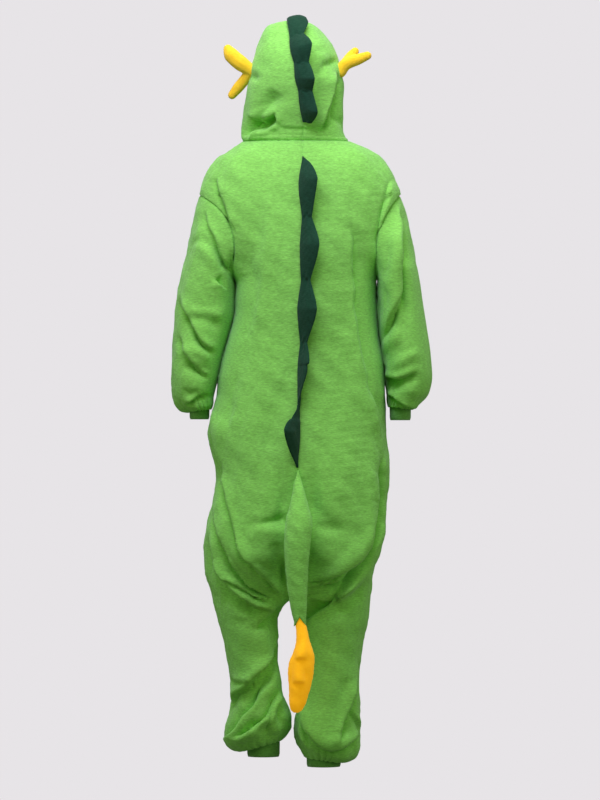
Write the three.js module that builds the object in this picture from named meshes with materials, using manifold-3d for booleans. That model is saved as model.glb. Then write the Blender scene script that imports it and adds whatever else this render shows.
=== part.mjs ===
// A dragon onesie: a hooded one-piece fleece costume, hollow, in the pose in which it is worn.
// Millimetres, +Z up. The garment faces -Y, so its back is at +Y and its left side at +X.
// The origin is the middle of the neck seam at the nape, where the wearer's shoulders carry it.
// Each cut panel is a wall made from a smooth surface that short tables of sections describe.
import * as THREE from "three";
import { mergeVertices } from "three/addons/utils/BufferGeometryUtils.js";
import Module from "manifold-3d";

const wasm = await Module();
wasm.setup();

// Driving sizes
const CLOTH = 2.5; // fleece wall
const SEAM_GAP = 0.3; // clear distance between two sewn pieces
const BACK_COLUMNS = 12; // quads from the back seam to the side seam
const FRONT_COLUMNS = 8; // quads from the side seam to the front edge
const ARMHOLE_TOP = -118;
const ARMHOLE_BOTTOM = -290;
const ARMHOLE_STEPS = 8;
const ARMHOLE_BITE = { left: 45, right: 36 }; // degrees that the armhole cuts into front and back
const HIP = -640;
const CROTCH = -1001;
const WAIST_ROWS = 7; // quads from the armhole to the hip
const HIP_ROWS = 9;
const CROTCH_ROWS = 7;
const BLEND_START = -846; // from here down the trunk divides into two legs
const TRUNK_SQUARE = 0.86; // below 1 is squarer than an ellipse
const DROP_FROM = 0.5; // share of the half turn from which a section hangs lower in front
const ARMHOLE_BLEND = 2.4; // rings in which a sleeve leaves the armhole's outline
const LEG_REACH = { back: 108, front: -98 }; // depth of a leg where it leaves the trunk

const GREEN = { color: 0x74b856, roughness: 0.95, metalness: 0 };
const CUFF_GREEN = { color: 0x5c9a40, roughness: 0.95, metalness: 0 };
const SPIKE_GREEN = { color: 0x1f5a3a, roughness: 0.9, metalness: 0 };
const YELLOW = { color: 0xf7c62c, roughness: 0.9, metalness: 0 };
const BUTTON = { color: 0x5fae45, roughness: 0.45, metalness: 0 };

// Sections of the trunk: half outlines seen from behind, the depth of back and front,
// and how far the front of the section hangs below its back.
const TRUNK = table(["z", "seam", "left", "right", "back", "front", "drop"], [
  [0, -8, 118, -106, 70, -78, 55],
  [-17, -8, 148, -145, 88, -89, 46],
  [-36, -8, 179, -177, 100, -98, 36],
  [-59, -8, 196, -195, 110, -105, 24],
  [-84, -8, 208, -207, 117, -111, 13],
  [ARMHOLE_TOP, -7, 217, -219, 124, -118, 4],
  [-160, -7, 213, -217, 130, -125, 0],
  [-204, -7, 200, -207, 134, -130, 0],
  [-250, -6, 178, -190, 137, -134, 0],
  [ARMHOLE_BOTTOM, -5, 150, -170, 138, -136, 0],
  [-312, -5, 138, -166.5, 138, -136, 0],
  [-366, -4, 136, -167.5, 137, -136, 0],
  [-431, -3, 149, -173, 136, -135, 0],
  [-493, -2, 166, -184, 138, -136, 0],
  [-581, 0, 184, -188, 146, -140, 0],
  [-645, 1, 200, -189, 153, -143, 0],
  [-717, 3, 185, -197, 160, -145, 0],
  [-742, 3, 182, -196, 161, -145, 0],
  [-790, 5, 187, -190, 163, -144, 0],
  [-851, 7, 200, -186, 163, -141, 0],
  [-893, 8, 205, -177, 161, -137, 0],
  [-944, 9, 203, -163, 157, -132, 0],
  [CROTCH, 10, 189, -156, 150, -126, 0],
]);

// Rings of a sleeve or leg: outer and inner point of each ring, and its depth.
// The last rings turn in and up, where the cloth is gathered into the cuff.
const RING_NAMES = ["t", "outerX", "outerZ", "innerX", "innerZ", "back", "front"];
const LEG = {
  left: table(RING_NAMES, [
    [0, 189, -1001, 10, -1001, 108, -98],
    [1, 184, -1030, 38, -1030, 102, -92],
    [2, 179, -1054, 47, -1054, 98, -88],
    [3, 168, -1090, 48, -1090, 92, -82],
    [4, 157, -1135, 48, -1135, 84, -76],
    [5, 148, -1186, 41, -1183, 80, -72],
    [6, 144, -1221, 38, -1213, 80, -70],
    [7, 152, -1256, 27, -1243, 84, -72],
    [8, 161, -1285, 19, -1268, 88, -74],
    [9, 166, -1310, 20, -1288, 86, -72],
    [10, 163, -1328, 28, -1303, 76, -64],
    [11, 150, -1340, 36, -1314, 64, -54],
    [12, 132, -1343, 41, -1319, 55, -46],
    [13, 117, -1336, 44, -1313, 50, -40],
    [14, 112, -1318, 45, -1304, 48, -38],
  ]),
  right: table(RING_NAMES, [
    [0, -156, -1001, 10, -1001, 108, -98],
    [1, -153, -1030, -6, -1030, 102, -92],
    [2, -150, -1054, -15, -1054, 98, -88],
    [3, -141, -1090, -16, -1090, 92, -83],
    [4, -136, -1130, -15, -1130, 86, -78],
    [5, -132, -1186, -10, -1186, 84, -74],
    [6, -134, -1235, -2, -1235, 86, -74],
    [7, -134, -1275, 8, -1272, 90, -76],
    [8, -134, -1308, 10, -1296, 92, -77],
    [9, -133, -1335, 5, -1322, 88, -74],
    [10, -127, -1353, -3, -1340, 78, -66],
    [11, -113, -1364, -11, -1352, 66, -56],
    [12, -99, -1367, -16, -1357, 57, -48],
    [13, -91, -1358, -18, -1350, 52, -42],
    [14, -89.5, -1340, -19, -1338, 50, -40],
  ]),
};
const SLEEVE = {
  left: table(RING_NAMES, [
    [0, 217, -118, 150, -290, 92, -84],
    [1, 226, -152, 149, -297, 92, -84],
    [2, 236, -200, 146, -308, 92, -86],
    [3, 248, -252, 143, -325, 90, -86],
    [4, 259, -306, 143, -349, 88, -86],
    [5, 267, -362, 147, -380, 86, -86],
    [6, 273, -415, 156, -415, 84, -86],
    [7, 278, -465, 169, -455, 82, -86],
    [8, 280, -512, 179, -497, 78, -86],
    [9, 279, -550, 186, -535, 72, -82],
    [10, 272, -578, 190, -563, 62, -74],
    [11, 258, -593, 192, -582, 52, -64],
    [12, 245, -596, 195, -589, 43, -56],
    [13, 240, -588, 199, -584, 36, -48],
    [14, 239, -573, 200, -572, 33, -45],
  ]),
  right: table(RING_NAMES, [
    [0, -219, -118, -170, -290, 92, -84],
    [1, -230, -152, -172, -297, 92, -84],
    [2, -241, -205, -172, -308, 92, -86],
    [3, -253, -262, -170, -325, 90, -86],
    [4, -263, -315, -169.5, -349, 88, -86],
    [5, -272, -368, -171, -380, 86, -86],
    [6, -281, -425, -174.5, -415, 84, -86],
    [7, -287, -475, -180.5, -455, 82, -86],
    [8, -290, -518, -188, -497, 78, -86],
    [9, -284, -553, -193, -535, 72, -82],
    [10, -269, -574, -195, -560, 62, -74],
    [11, -256, -588, -196, -576, 52, -64],
    [12, -249, -590, -198, -584, 43, -56],
    [13, -246, -583, -201, -579, 36, -48],
    [14, -244, -568, -202, -568, 33, -45],
  ]),
};

// Sections of the hood, from the neck seam to the crown, and the half angle that it covers:
// below 180 degrees the front stays open for the face.
const HOOD = table(["z", "seam", "left", "right", "back", "front", "drop", "cover"], [
  [0, -8, 118, -106, 70, -78, 55, 180],
  [9, -8, 126, -100, 72, -86, 52, 158],
  [28, -9, 127, -95, 77, -94, 44, 145],
  [60, -7, 123, -95, 87, -101, 32, 138],
  [96, -1, 117, -96, 96, -107, 20, 135],
  [125, 4, 112, -98, 100, -111, 12, 136],
  [153, 8, 106, -90, 101, -113, 6, 140],
  [180, 13, 99, -84, 97, -112, 2, 147],
  [202, 17, 92, -74, 88, -108, 0, 158],
  [214, 19, 87, -67, 82, -104, 0, 180],
  [232, 21, 80, -53, 69, -92, 0, 180],
  [249, 24, 68, -38, 52, -74, 0, 180],
  [259, 25, 46, -24, 41, -58, 0, 180],
  [264, 26, 26, 26, 32, -44, 0, 180],
]);

// The largest folds, as strokes on the cloth seen from behind or from the front: from a start to
// an end point, bowed sideways, with the half width on each flank and the height (below 0: a trough).
const FOLD_NAMES = ["x0", "z0", "x1", "z1", "bow", "near", "far", "height"];
const TRUNK_FOLDS = {
  back: folds([
    [165, -737, 33, -996, -40, 30, 26, 12],
    [165, -870, 37, -1008, -26, 26, 26, -13],
    [186, -925, 58, -1018, -20, 26, 22, 11],
    [-160, -719, -20, -972, 66, 34, 26, 12],
    [-162, -790, -20, -1004, 56, 22, 22, -12],
    [-168, -800, -18, -1046, 38, 26, 24, 15],
    [-150, -965, -14, -1060, 12, 24, 24, -13],
    [81, -207, 101, -427, 5, 28, 40, 7],
    [114, -225, 130, -450, 0, 30, 30, -8],
    [37, -526, 75, -680, 0, 42, 42, -6],
    [-117, -300, -185, -680, -8, 34, 34, 8],
    [-136, -330, -160, -560, 0, 30, 30, -7],
    [104, -848, 34, -880, 6, 38, 38, 8],
    [48, -880, 38, -985, 0, 28, 28, -11],
    [2, -735, 34, -860, 0, 34, 34, -6],
    [-12, -735, -92, -860, -14, 34, 34, -7],
    [30, -1018, 104, -1080, 6, 24, 24, -9],
    [46, -1126, 145, -1240, 0, 24, 24, 10],
    [64, -1160, 128, -1240, 4, 24, 24, -9],
    [51, -1168, 160, -1325, 34, 24, 24, 9],
    [114, -1270, 60, -1308, 0, 24, 24, -10],
    [-125, -1180, -92, -1300, 0, 22, 26, 9],
    [-100, -1180, -64, -1310, 4, 26, 24, -9],
    [-9, -1250, -122, -1312, -42, 22, 26, 9],
  ]),
  front: folds([
    [-165, -700, -26, -985, 74, 34, 30, 12],
    [-160, -790, -26, -1000, 56, 30, 30, -12],
    [180, -700, 30, -985, -74, 34, 30, 12],
    [172, -790, 34, -1000, -56, 30, 30, -12],
    [120, -300, 100, -470, -6, 34, 34, -9],
    [-130, -300, -110, -470, 6, 34, 34, -9],
    [96, -520, 60, -760, -8, 42, 42, -7],
    [-100, -540, -66, -780, 8, 42, 42, -7],
    [-120, -1190, -50, -1310, 8, 26, 26, -9],
    [140, -1190, 60, -1300, -8, 26, 26, -9],
  ]),
};
const SLEEVE_FOLDS = {
  left: {
    back: folds([
      [146, -296, 236, -215, -14, 22, 18, -9],
      [148, -352, 236, -372, 22, 20, 26, 10],
      [156, -418, 250, -392, -14, 20, 24, -10],
      [186, -520, 262, -500, -12, 18, 22, -9],
      [176, -486, 268, -462, -10, 20, 20, 8],
      [192, -552, 256, -548, 8, 18, 18, -8],
    ]),
    front: folds([
      [148, -352, 236, -372, 22, 20, 26, 8],
      [160, -430, 250, -404, -14, 20, 24, -9],
      [186, -520, 262, -500, -12, 18, 22, -8],
    ]),
  },
  right: {
    back: folds([
      [-221, -150, -216, -400, -10, 16, 22, 11],
      [-236, -190, -238, -420, -4, 20, 24, -10],
      [-214, -405, -178, -462, 8, 20, 22, 9],
      [-262, -510, -188, -548, 6, 18, 22, -10],
      [-200, -505, -272, -470, 8, 20, 20, 8],
    ]),
    front: folds([
      [-176, -352, -250, -380, -18, 20, 26, 8],
      [-180, -440, -264, -410, 12, 20, 24, -9],
      [-196, -525, -276, -505, 10, 18, 22, -8],
    ]),
  },
};
const HOOD_FOLDS = {
  back: folds([
    [110, 22, 52, 52, 8, 16, 24, -13],
    [116, 8, 44, 24, 14, 12, 14, 8],
    [76, 84, 50, 106, 0, 24, 24, -8],
    [-86, 150, -56, 34, 4, 16, 12, 8],
    [-94, 140, -70, 26, 4, 14, 18, -10],
    [-60, 176, -46, 140, 0, 18, 18, -5],
  ]),
  front: folds([]),
};

// Spikes: the fins sewn into the centre back seam of the hood and of the trunk.
const SPIKE_THICK = 14;
const SPIKE_CLEAR = 0.9; // from the cloth to a fin's root
const SPIKE_PEAK = 0.45; // a spike's highest place along it
const HOOD_SPIKES = [0, 0.18, 0.328, 0.49, 0.72, 1]; // the valleys along the crest
const HOOD_SPIKE_STEPS = 6;
const HOOD_CREST_START = 41;
const HOOD_CREST_END = 226; // on the front of the crown
const BACK_SPIKES = [0, 0.2, 0.4, 0.6, 0.8, 1];
const BACK_SPIKE_STEPS = 7;
const BACK_CREST = { top: -38, bottom: -718, knots: 24 };
// Height of a fin at its tip and in its valley, its lean to the right at its root and how much more it
// leans at its edge, over its length from 0 to 1.
const BACK_CREST_FORM = table(["s", "tip", "valley", "lean", "curl"], [
  [0, 46, 2, 48, 0],
  [0.1, 50, 20, 52, 0],
  [0.2, 50, 26, 54, 0],
  [0.5, 50, 24, 54, 0],
  [0.6, 48, 22, 44, 0],
  [0.68, 46, 20, 28, 0],
  [0.8, 46, 18, -4, 0],
  [0.88, 50, 16, -40, 0],
  [1, 44, 2, -40, 0],
]);
const HOOD_CREST_FORM = table(["s", "tip", "valley", "lean", "curl"], [
  [0, 42, 24, 52, 0],
  [0.1, 46, 34, 54, 0],
  [0.18, 48, 38, 55, 0],
  [0.33, 51, 38, 56, 4],
  [0.49, 50, 34, 60, 14],
  [0.6, 46, 30, 65, 30],
  [0.8, 40, 26, 67, 30],
  [1, 32, 6, 60, 0],
]);

// The tail hangs from the seat: half width, middle, and the depth of its two faces.
const TAIL = table(["z", "x", "half", "near", "far"], [
  [-724, 3, 2, 161.1, 164.5],
  [-745, 2, 8, 161.3, 176],
  [-775, 1, 15, 161.8, 193],
  [-805, 0, 22, 163.2, 207],
  [-830, 0, 29, 165, 216],
  [-848, 1, 30, 166.2, 219],
  [-880, 4, 29, 168, 221],
  [-925, 5, 26, 170, 218],
  [-975, 4, 22.5, 171, 212],
  [-1020, 1, 18.5, 172, 205],
  [-1052, -2, 14, 173, 200],
]);
const TAIL_ROWS = 13;
const TAIL_SIDES = 14;
// The yellow tail tip is a stuffed flame with two lobes on its back face.
const TIP = table(["z", "x", "half", "near", "far"], [
  [-1052.3, -2, 12, 176, 197],
  [-1072, -6, 13, 174, 201],
  [-1090, -8, 15, 173, 205],
  [-1108, -9.5, 19, 172, 209],
  [-1124, -9, 24, 171, 211],
  [-1140, -6, 28, 171, 211],
  [-1160, -4, 28.5, 171, 210],
  [-1188, -2, 25, 172, 208],
  [-1212, 1, 21.5, 173, 205],
  [-1232, 4, 18, 175, 202],
  [-1245, 6, 13, 178, 198],
  [-1251, 7, 6, 182, 194],
]);
const TIP_ROWS = 16;
const TIP_SIDES = 14;
const TIP_LOBES = [
  { x: -3, z: -1130, length: 44, half: 15, height: 9 },
  { x: 1, z: -1182, length: 46, half: 15, height: 8 },
];

// Horns: tapering stuffed prongs from the sides of the hood, as centre points and radii.
const HORN_SIDES = 10;
const HORN_STEPS = 6;
const HORN_SEAT = { angle: 80, left: 155, right: 152 };
const HORN_FOOT = { from: 80, to: 210, rows: 10, columns: 24, clear: 0.5 };
const PRONGS = {
  left: [
    { reach: [[24, 2, 17], [43, 0, 34], [51, -2, 48]], radii: [12.5, 16, 15, 9] },
    { reach: [[12, -10, -17], [28, -18, -36], [42, -22, -53]], radii: [11, 11, 11, 8.5] },
  ],
  right: [
    { reach: [[12, 0, 21], [37, 0, 32], [60, -2, 39]], radii: [11, 13, 12.5, 9] },
    { reach: [[14, -12, 25], [24, -18, 36], [32, -22, 44]], radii: [10, 11.5, 11, 9] },
  ],
};

// Cuffs: oval bands of doubled fleece, from inside the gathered end of a sleeve or leg downwards.
const CUFFS = {
  sleeve_cuff_left: { limb: "sleeve", side: "left", top: -572, bottom: -612 },
  sleeve_cuff_right: { limb: "sleeve", side: "right", top: -568, bottom: -614 },
  ankle_cuff_left: { limb: "leg", side: "left", top: -1306, bottom: -1355 },
  ankle_cuff_right: { limb: "leg", side: "right", top: -1338, bottom: -1377 },
};
const CUFF_CLEAR = 0.6;

// The button band on the front edge, which the photograph doesn't show.
const BAND = { top: -17, bottom: -570, halfWidth: 17, clear: 0.6 };
const BUTTONS = { count: 5, first: -40, step: -112, clear: 0.5 };
const BUTTON_FORM = { radius: 10, thick: 4, edge: 1, rim: 3.5, dish: 1.2 };

function clamp(value, low, high) {
  return Math.min(high, Math.max(low, value));
}

function mix(from, to, share) {
  return from + (to - from) * share;
}

function smooth(low, high, value) {
  const t = clamp((value - low) / (high - low), 0, 1);
  return t * t * (3 - 2 * t);
}

// A curve through a table's rows, without overshoot. It gives each named column at a value of the first one.
function table(names, rows) {
  const key = rows.map((row) => row[0]);
  const rising = Math.sign(key[1] - key[0]);
  const slope = (c, i) => (rows[i + 1][c] - rows[i][c]) / (key[i + 1] - key[i]);
  const tangent = (c, i) => {
    if (i === 0) return slope(c, 0);
    if (i === rows.length - 1) return slope(c, i - 1);
    const before = slope(c, i - 1);
    const after = slope(c, i);
    return before * after > 0 ? (2 * before * after) / (before + after) : 0;
  };
  const at = (value) => {
    let i = 0;
    while (i < rows.length - 2 && rising * value > rising * key[i + 1]) i++;
    const h = key[i + 1] - key[i];
    const s = clamp((value - key[i]) / h, 0, 1);
    const found = {};
    names.forEach((name, c) => {
      const bend = s * (1 - s) * h * ((1 - s) * tangent(c, i) - s * tangent(c, i + 1));
      const line = rows[i][c] + (rows[i + 1][c] - rows[i][c]) * s * s * (3 - 2 * s);
      found[name] = line + bend;
    });
    return found;
  };
  at.first = key[0];
  at.last = key[key.length - 1];
  return at;
}

function folds(rows) {
  return rows.map((row) => Object.fromEntries(FOLD_NAMES.map((name, c) => [name, row[c]])));
}

// How far one stroke lifts the cloth at a point seen at (x, z).
function strokeHeight(fold, x, z) {
  const dx = fold.x1 - fold.x0;
  const dz = fold.z1 - fold.z0;
  const length = Math.hypot(dx, dz);
  const along = ((x - fold.x0) * dx + (z - fold.z0) * dz) / (length * length);
  if (along <= 0 || along >= 1) return 0;
  const across = ((x - fold.x0) * dz - (z - fold.z0) * dx) / length;
  const offset = across - 4 * fold.bow * along * (1 - along);
  const reach = Math.abs(offset) / (offset < 0 ? fold.near : fold.far);
  if (reach >= 1) return 0;
  return fold.height * (1 - smooth(0, 1, reach)) * Math.sin(Math.PI * along) ** 0.6;
}

// Cloth with its folds: a base surface moved along its normals, less so where it is sewn to a cuff.
function foldedSurface(base, strokes, loose) {
  const surface = (u, v) => {
    const point = base(u, v);
    const normal = normalOf(base, u, v);
    const seen = normal.y > 0 ? strokes.back : strokes.front;
    const facing = smooth(0.1, 0.55, Math.abs(normal.y)) * loose(v);
    const lift = seen.reduce((sum, fold) => sum + strokeHeight(fold, point.x, point.z), 0);
    return point.addScaledVector(normal, lift * facing);
  };
  return Object.assign(surface, { side: base.side, closed: base.closed, onMiddle: base.onMiddle });
}

const STEP = 2e-3;

// The outward normal of a surface whose u runs from back to front and whose v runs downwards.
function normalOf(surface, u, v) {
  const u0 = surface.closed ? u - STEP : Math.max(0, u - STEP);
  const u1 = surface.closed ? u + STEP : Math.min(1, u + STEP);
  const across = surface(u1, v).sub(surface(u0, v));
  const down = surface(u, Math.min(1, v + STEP)).sub(surface(u, Math.max(0, v - STEP)));
  const normal = across.cross(down).multiplyScalar(SIDES[surface.side]).normalize();
  if (surface.onMiddle(u, v)) normal.setX(0).normalize();
  return normal;
}

function signedPower(value, exponent) {
  return Math.sign(value) * Math.abs(value) ** exponent;
}

const SIDES = { left: 1, right: -1 };

// A ring of a sleeve or leg at an angle: 0 is its inner point, a quarter turn its back.
function ringPoint(ring, turn) {
  const angle = 2 * Math.PI * turn;
  const inward = (1 + Math.cos(angle)) / 2;
  const x = ring.outerX + (ring.innerX - ring.outerX) * inward;
  const z = ring.outerZ + (ring.innerZ - ring.outerZ) * inward;
  const depth = Math.sin(angle);
  const middle = (ring.back + ring.front) / 2;
  const y = middle * Math.abs(depth) + depth * (ring.back - ring.front) / 2;
  return new THREE.Vector3(x, y, z);
}

// Half of the trunk's section: u is 0 at the back seam, a half at the side and 1 at the front edge.
function trunkPoint(side, u, z) {
  const row = TRUNK(z);
  const angle = Math.PI * u;
  const reach = Math.sin(angle) ** TRUNK_SQUARE;
  const depth = signedPower(Math.cos(angle), TRUNK_SQUARE);
  const x = row.seam + (row[side] - row.seam) * reach;
  const y = depth > 0 ? row.back * depth : -row.front * depth;
  return new THREE.Vector3(x, y, z - row.drop * smooth(DROP_FROM, 1, u));
}

// Every second column sinks in where the cloth is gathered into a cuff, which makes ten gathers at
// an ankle and eight at a wrist.
const GATHER = { depth: 4, from: 8.5, to: 12 };

function gathered(point, normal, ring, column) {
  if (column % 2 === 0) return point;
  return point.addScaledVector(normal, -GATHER.depth * smooth(GATHER.from, GATHER.to, ring));
}

// Between these rings the folds of a leg or sleeve end, above its cuff. Near the neck and the armhole
// they end too, so that the pieces meet there.
const CALM_FROM = 10.5;
const CALM_TO = 12.5;
const CALM_ARMHOLE = 1.6; // rings
const CALM_NECK = 0.03; // share of a panel

// Rows of a body panel are numbered down from the neck: the trunk's rows are heights, and past the
// crotch they are the leg's rings. One unit of v is the whole panel.
const LEG_SHARE = 0.36;
const LEG_RINGS = LEG.left.last;

function legRing(v) {
  return ((v - 1 + LEG_SHARE) / LEG_SHARE) * LEG_RINGS;
}

function bodyBase(side) {
  const surface = (u, v) => {
    if (v >= 1 - LEG_SHARE) {
      return ringPoint(LEG[side](legRing(v)), u);
    }
    const z = heightOfRow(v);
    const point = trunkPoint(side, clamp(u, 0, 1), z);
    if (z > BLEND_START) return point;
    const row = TRUNK(z);
    const above = (z - CROTCH) / (BLEND_START - CROTCH);
    const trunkPart = Math.sqrt(1 - (1 - above) ** 2);
    const leg = { outerX: row[side], outerZ: z, innerX: row.seam, innerZ: z, ...LEG_REACH };
    return ringPoint(leg, clamp(u, 0, 1)).lerp(point, trunkPart);
  };
  const onMiddle = (u, v) => v < 1 - LEG_SHARE && (u < STEP || u > 1 - STEP);
  return Object.assign(surface, { side, closed: false, onMiddle });
}

function rowOfHeight(z) {
  return (z / CROTCH) * (1 - LEG_SHARE);
}

function heightOfRow(v) {
  return v < 1 - LEG_SHARE ? (CROTCH * v) / (1 - LEG_SHARE) : -Infinity;
}

function bodySurface(side) {
  const loose = (v) => smooth(0, CALM_NECK, v) * (1 - smooth(CALM_FROM, CALM_TO, legRing(v)));
  return foldedSurface(bodyBase(side), TRUNK_FOLDS, loose);
}

// The armhole edge in rows of the panel: a height, and the u of the edge on back or front.
function armholeTurn(step) {
  return (Math.PI * step) / ARMHOLE_STEPS;
}

function armholeHeight(angle) {
  const middle = (ARMHOLE_TOP + ARMHOLE_BOTTOM) / 2;
  return middle + ((ARMHOLE_TOP - ARMHOLE_BOTTOM) / 2) * Math.cos(angle);
}

function armholeAngle(z) {
  const middle = (ARMHOLE_TOP + ARMHOLE_BOTTOM) / 2;
  return Math.acos(clamp((z - middle) / ((ARMHOLE_TOP - ARMHOLE_BOTTOM) / 2), -1, 1));
}

function edgeOfHalf(side, z) {
  return (90 - ARMHOLE_BITE[side] * Math.sin(armholeAngle(z))) / 180;
}

// The heights of the rows of quads, closest where the section changes fastest.
function bodyRows() {
  const heights = [0, -17, -36, -59, -84];
  for (let i = 0; i <= ARMHOLE_STEPS; i++) heights.push(armholeHeight(armholeTurn(i)));
  for (let i = 1; i <= WAIST_ROWS; i++) heights.push(mix(ARMHOLE_BOTTOM, HIP, i / WAIST_ROWS));
  for (let i = 1; i <= HIP_ROWS; i++) heights.push(mix(HIP, BLEND_START, i / HIP_ROWS));
  for (let i = 1; i <= CROTCH_ROWS; i++) {
    heights.push(mix(BLEND_START, CROTCH, Math.sin((Math.PI / 2) * (i / CROTCH_ROWS))));
  }
  const rows = heights.map(rowOfHeight);
  for (let ring = 1; ring <= LEG_RINGS; ring++) rows.push(1 - LEG_SHARE + (LEG_SHARE * ring) / LEG_RINGS);
  return rows;
}

// A closed wall from a grid of outer points and their normals. Edges listed in seams are drawn back.
function wallGeometry(points, normals, { closed = false, seams = {} }) {
  const rows = points.length;
  const columns = points[0].length;
  const inner = points.map((row, i) => row.map((p, j) => p.clone().addScaledVector(normals[i][j], -CLOTH)));
  const draw = (edge, neighbour) => {
    const shift = neighbour.clone().sub(edge.outer).normalize().multiplyScalar(SEAM_GAP / 2);
    edge.outer.add(shift);
    edge.inner.add(shift);
  };
  const pair = (i, j) => ({ outer: points[i][j], inner: inner[i][j] });
  for (let i = 0; i < rows; i++) {
    if (seams.start) draw(pair(i, 0), points[i][1]);
    if (seams.end) draw(pair(i, columns - 1), points[i][columns - 2]);
  }
  for (let j = 0; j < columns; j++) {
    if (seams.top) draw(pair(0, j), points[1][j]);
    if (seams.bottom) draw(pair(rows - 1, j), points[rows - 2][j]);
  }
  const positions = [];
  const quad = (a, b, c, d) => {
    const short = a.distanceToSquared(c) <= b.distanceToSquared(d);
    const faces = short ? [a, b, c, a, c, d] : [a, b, d, b, c, d];
    faces.forEach((p) => positions.push(p.x, p.y, p.z));
  };
  const lastColumn = closed ? columns : columns - 1;
  for (let i = 0; i < rows - 1; i++) {
    for (let j = 0; j < lastColumn; j++) {
      const k = (j + 1) % columns;
      quad(points[i][j], points[i + 1][j], points[i + 1][k], points[i][k]);
      quad(inner[i][j], inner[i][k], inner[i + 1][k], inner[i + 1][j]);
    }
  }
  for (let j = 0; j < lastColumn; j++) {
    const k = (j + 1) % columns;
    quad(points[0][j], points[0][k], inner[0][k], inner[0][j]);
    quad(points[rows - 1][k], points[rows - 1][j], inner[rows - 1][j], inner[rows - 1][k]);
  }
  if (!closed) {
    for (let i = 0; i < rows - 1; i++) {
      const end = columns - 1;
      quad(points[i][0], inner[i][0], inner[i + 1][0], points[i + 1][0]);
      quad(points[i][end], points[i + 1][end], inner[i + 1][end], inner[i][end]);
    }
  }
  return facingOut(positions);
}

// A geometry with merged vertices, turned so that its faces point out.
function facingOut(positions) {
  let volume = 0;
  for (let i = 0; i < positions.length; i += 9) {
    const [ax, ay, az, bx, by, bz, cx, cy, cz] = positions.slice(i, i + 9);
    volume += ax * (by * cz - bz * cy) - ay * (bx * cz - bz * cx) + az * (bx * cy - by * cx);
  }
  if (volume < 0) {
    for (let i = 0; i < positions.length; i += 9) {
      for (let c = 0; c < 3; c++) {
        [positions[i + 3 + c], positions[i + 6 + c]] = [positions[i + 6 + c], positions[i + 3 + c]];
      }
    }
  }
  const geometry = new THREE.BufferGeometry();
  geometry.setAttribute("position", new THREE.Float32BufferAttribute(positions, 3));
  return mergeVertices(geometry, 1e-4);
}

function panelMesh(name, geometry, look) {
  const flat = geometry.toNonIndexed();
  flat.computeVertexNormals();
  const mesh = new THREE.Mesh(flat, new THREE.MeshStandardMaterial(look));
  mesh.name = name;
  return mesh;
}

// Front and back panels of one side, each from neck to ankle.
function bodyPanel(side, part) {
  const surface = bodySurface(side);
  const columns = part === "back" ? BACK_COLUMNS : FRONT_COLUMNS;
  const points = [];
  const normals = [];
  for (const v of bodyRows()) {
    const inLeg = v > 1 - LEG_SHARE + 1e-9;
    const atCrotch = !inLeg && v > 1 - LEG_SHARE - 1e-9;
    const z = heightOfRow(v);
    const edge = edgeOfHalf(side, z);
    const row = [];
    const rowNormals = [];
    for (let j = 0; j <= columns; j++) {
      const share = (edge * j) / columns;
      const u = part === "back" ? share : 1 - share;
      const point = surface(u, v);
      let normal = normalOf(surface, u, v);
      if (v === 0) normal = neckNormal(side, u);
      if (j === 0 && inLeg) normal = sharedNormal(normalOf(surface, 0, v), normalOf(surface, 1, v));
      if (j === 0 && atCrotch) normal.set(0, 0, -1);
      if (j === columns && z <= ARMHOLE_TOP && z >= ARMHOLE_BOTTOM) {
        const turn = (Math.PI - armholeAngle(z)) / (2 * Math.PI);
        normal = armholeNormal(side, part === "back" ? turn : 1 - turn);
      }
      row.push(gathered(point, normal, legRing(v), j));
      rowNormals.push(normal);
    }
    points.push(row);
    normals.push(rowNormals);
  }
  return wallGeometry(points, normals, { seams: { start: true, end: true, top: true, bottom: false } });
}

// Two pieces that meet share the direction in which the cloth is thick: the mean of their normals.
function sharedNormal(one, other) {
  return one.add(other).normalize();
}

function armholeNormal(side, turn) {
  const seam = armholeSeam(side, turn);
  return sharedNormal(normalOf(bodySurface(side), seam.u, seam.v), normalOf(sleeveSurface(side), turn, 0));
}

function neckNormal(side, u) {
  const normal = sharedNormal(normalOf(bodySurface(side), u, 0), normalOf(hoodSurface(side), u, 1));
  return u > 0 && u < 1 ? normal : normal.setX(0).normalize();
}

// The place on the body panels where the armhole passes, for a turn round the sleeve.
function armholeSeam(side, turn) {
  const z = armholeHeight(Math.PI - 2 * Math.PI * Math.min(turn, 1 - turn));
  const edge = edgeOfHalf(side, z);
  return { u: turn <= 0.5 ? edge : 1 - edge, v: rowOfHeight(z) };
}

// A sleeve's surface: u is 0 at the underarm seam and a quarter at the back. Its first ring is the armhole.
function sleeveBase(side) {
  const body = bodySurface(side);
  const surface = (u, v) => {
    const turn = u - Math.floor(u);
    const ring = SLEEVE[side](v * SLEEVE[side].last);
    const point = ringPoint(ring, turn);
    const settled = smooth(0, ARMHOLE_BLEND, v * SLEEVE[side].last);
    if (settled >= 1) return point;
    const seam = armholeSeam(side, turn);
    const ringAtSeam = ringPoint(SLEEVE[side](0), turn);
    return point.addScaledVector(body(seam.u, seam.v).sub(ringAtSeam), 1 - settled);
  };
  return Object.assign(surface, { side, closed: true, onMiddle: () => false });
}

function sleeveSurface(side) {
  const rings = (v) => v * SLEEVE[side].last;
  const loose = (v) => smooth(0, CALM_ARMHOLE, rings(v)) * (1 - smooth(CALM_FROM, CALM_TO, rings(v)));
  return foldedSurface(sleeveBase(side), SLEEVE_FOLDS[side], loose);
}

// The rings of a sleeve where its rows of quads lie.
const SLEEVE_ROWS = [0, 0.5, 1, 1.6, 2.4, 3.3, 4.2, 5.1, 6, 6.9, 7.8, 8.6, 9.4, 10.2, 11, 12, 13, 14];

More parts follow.
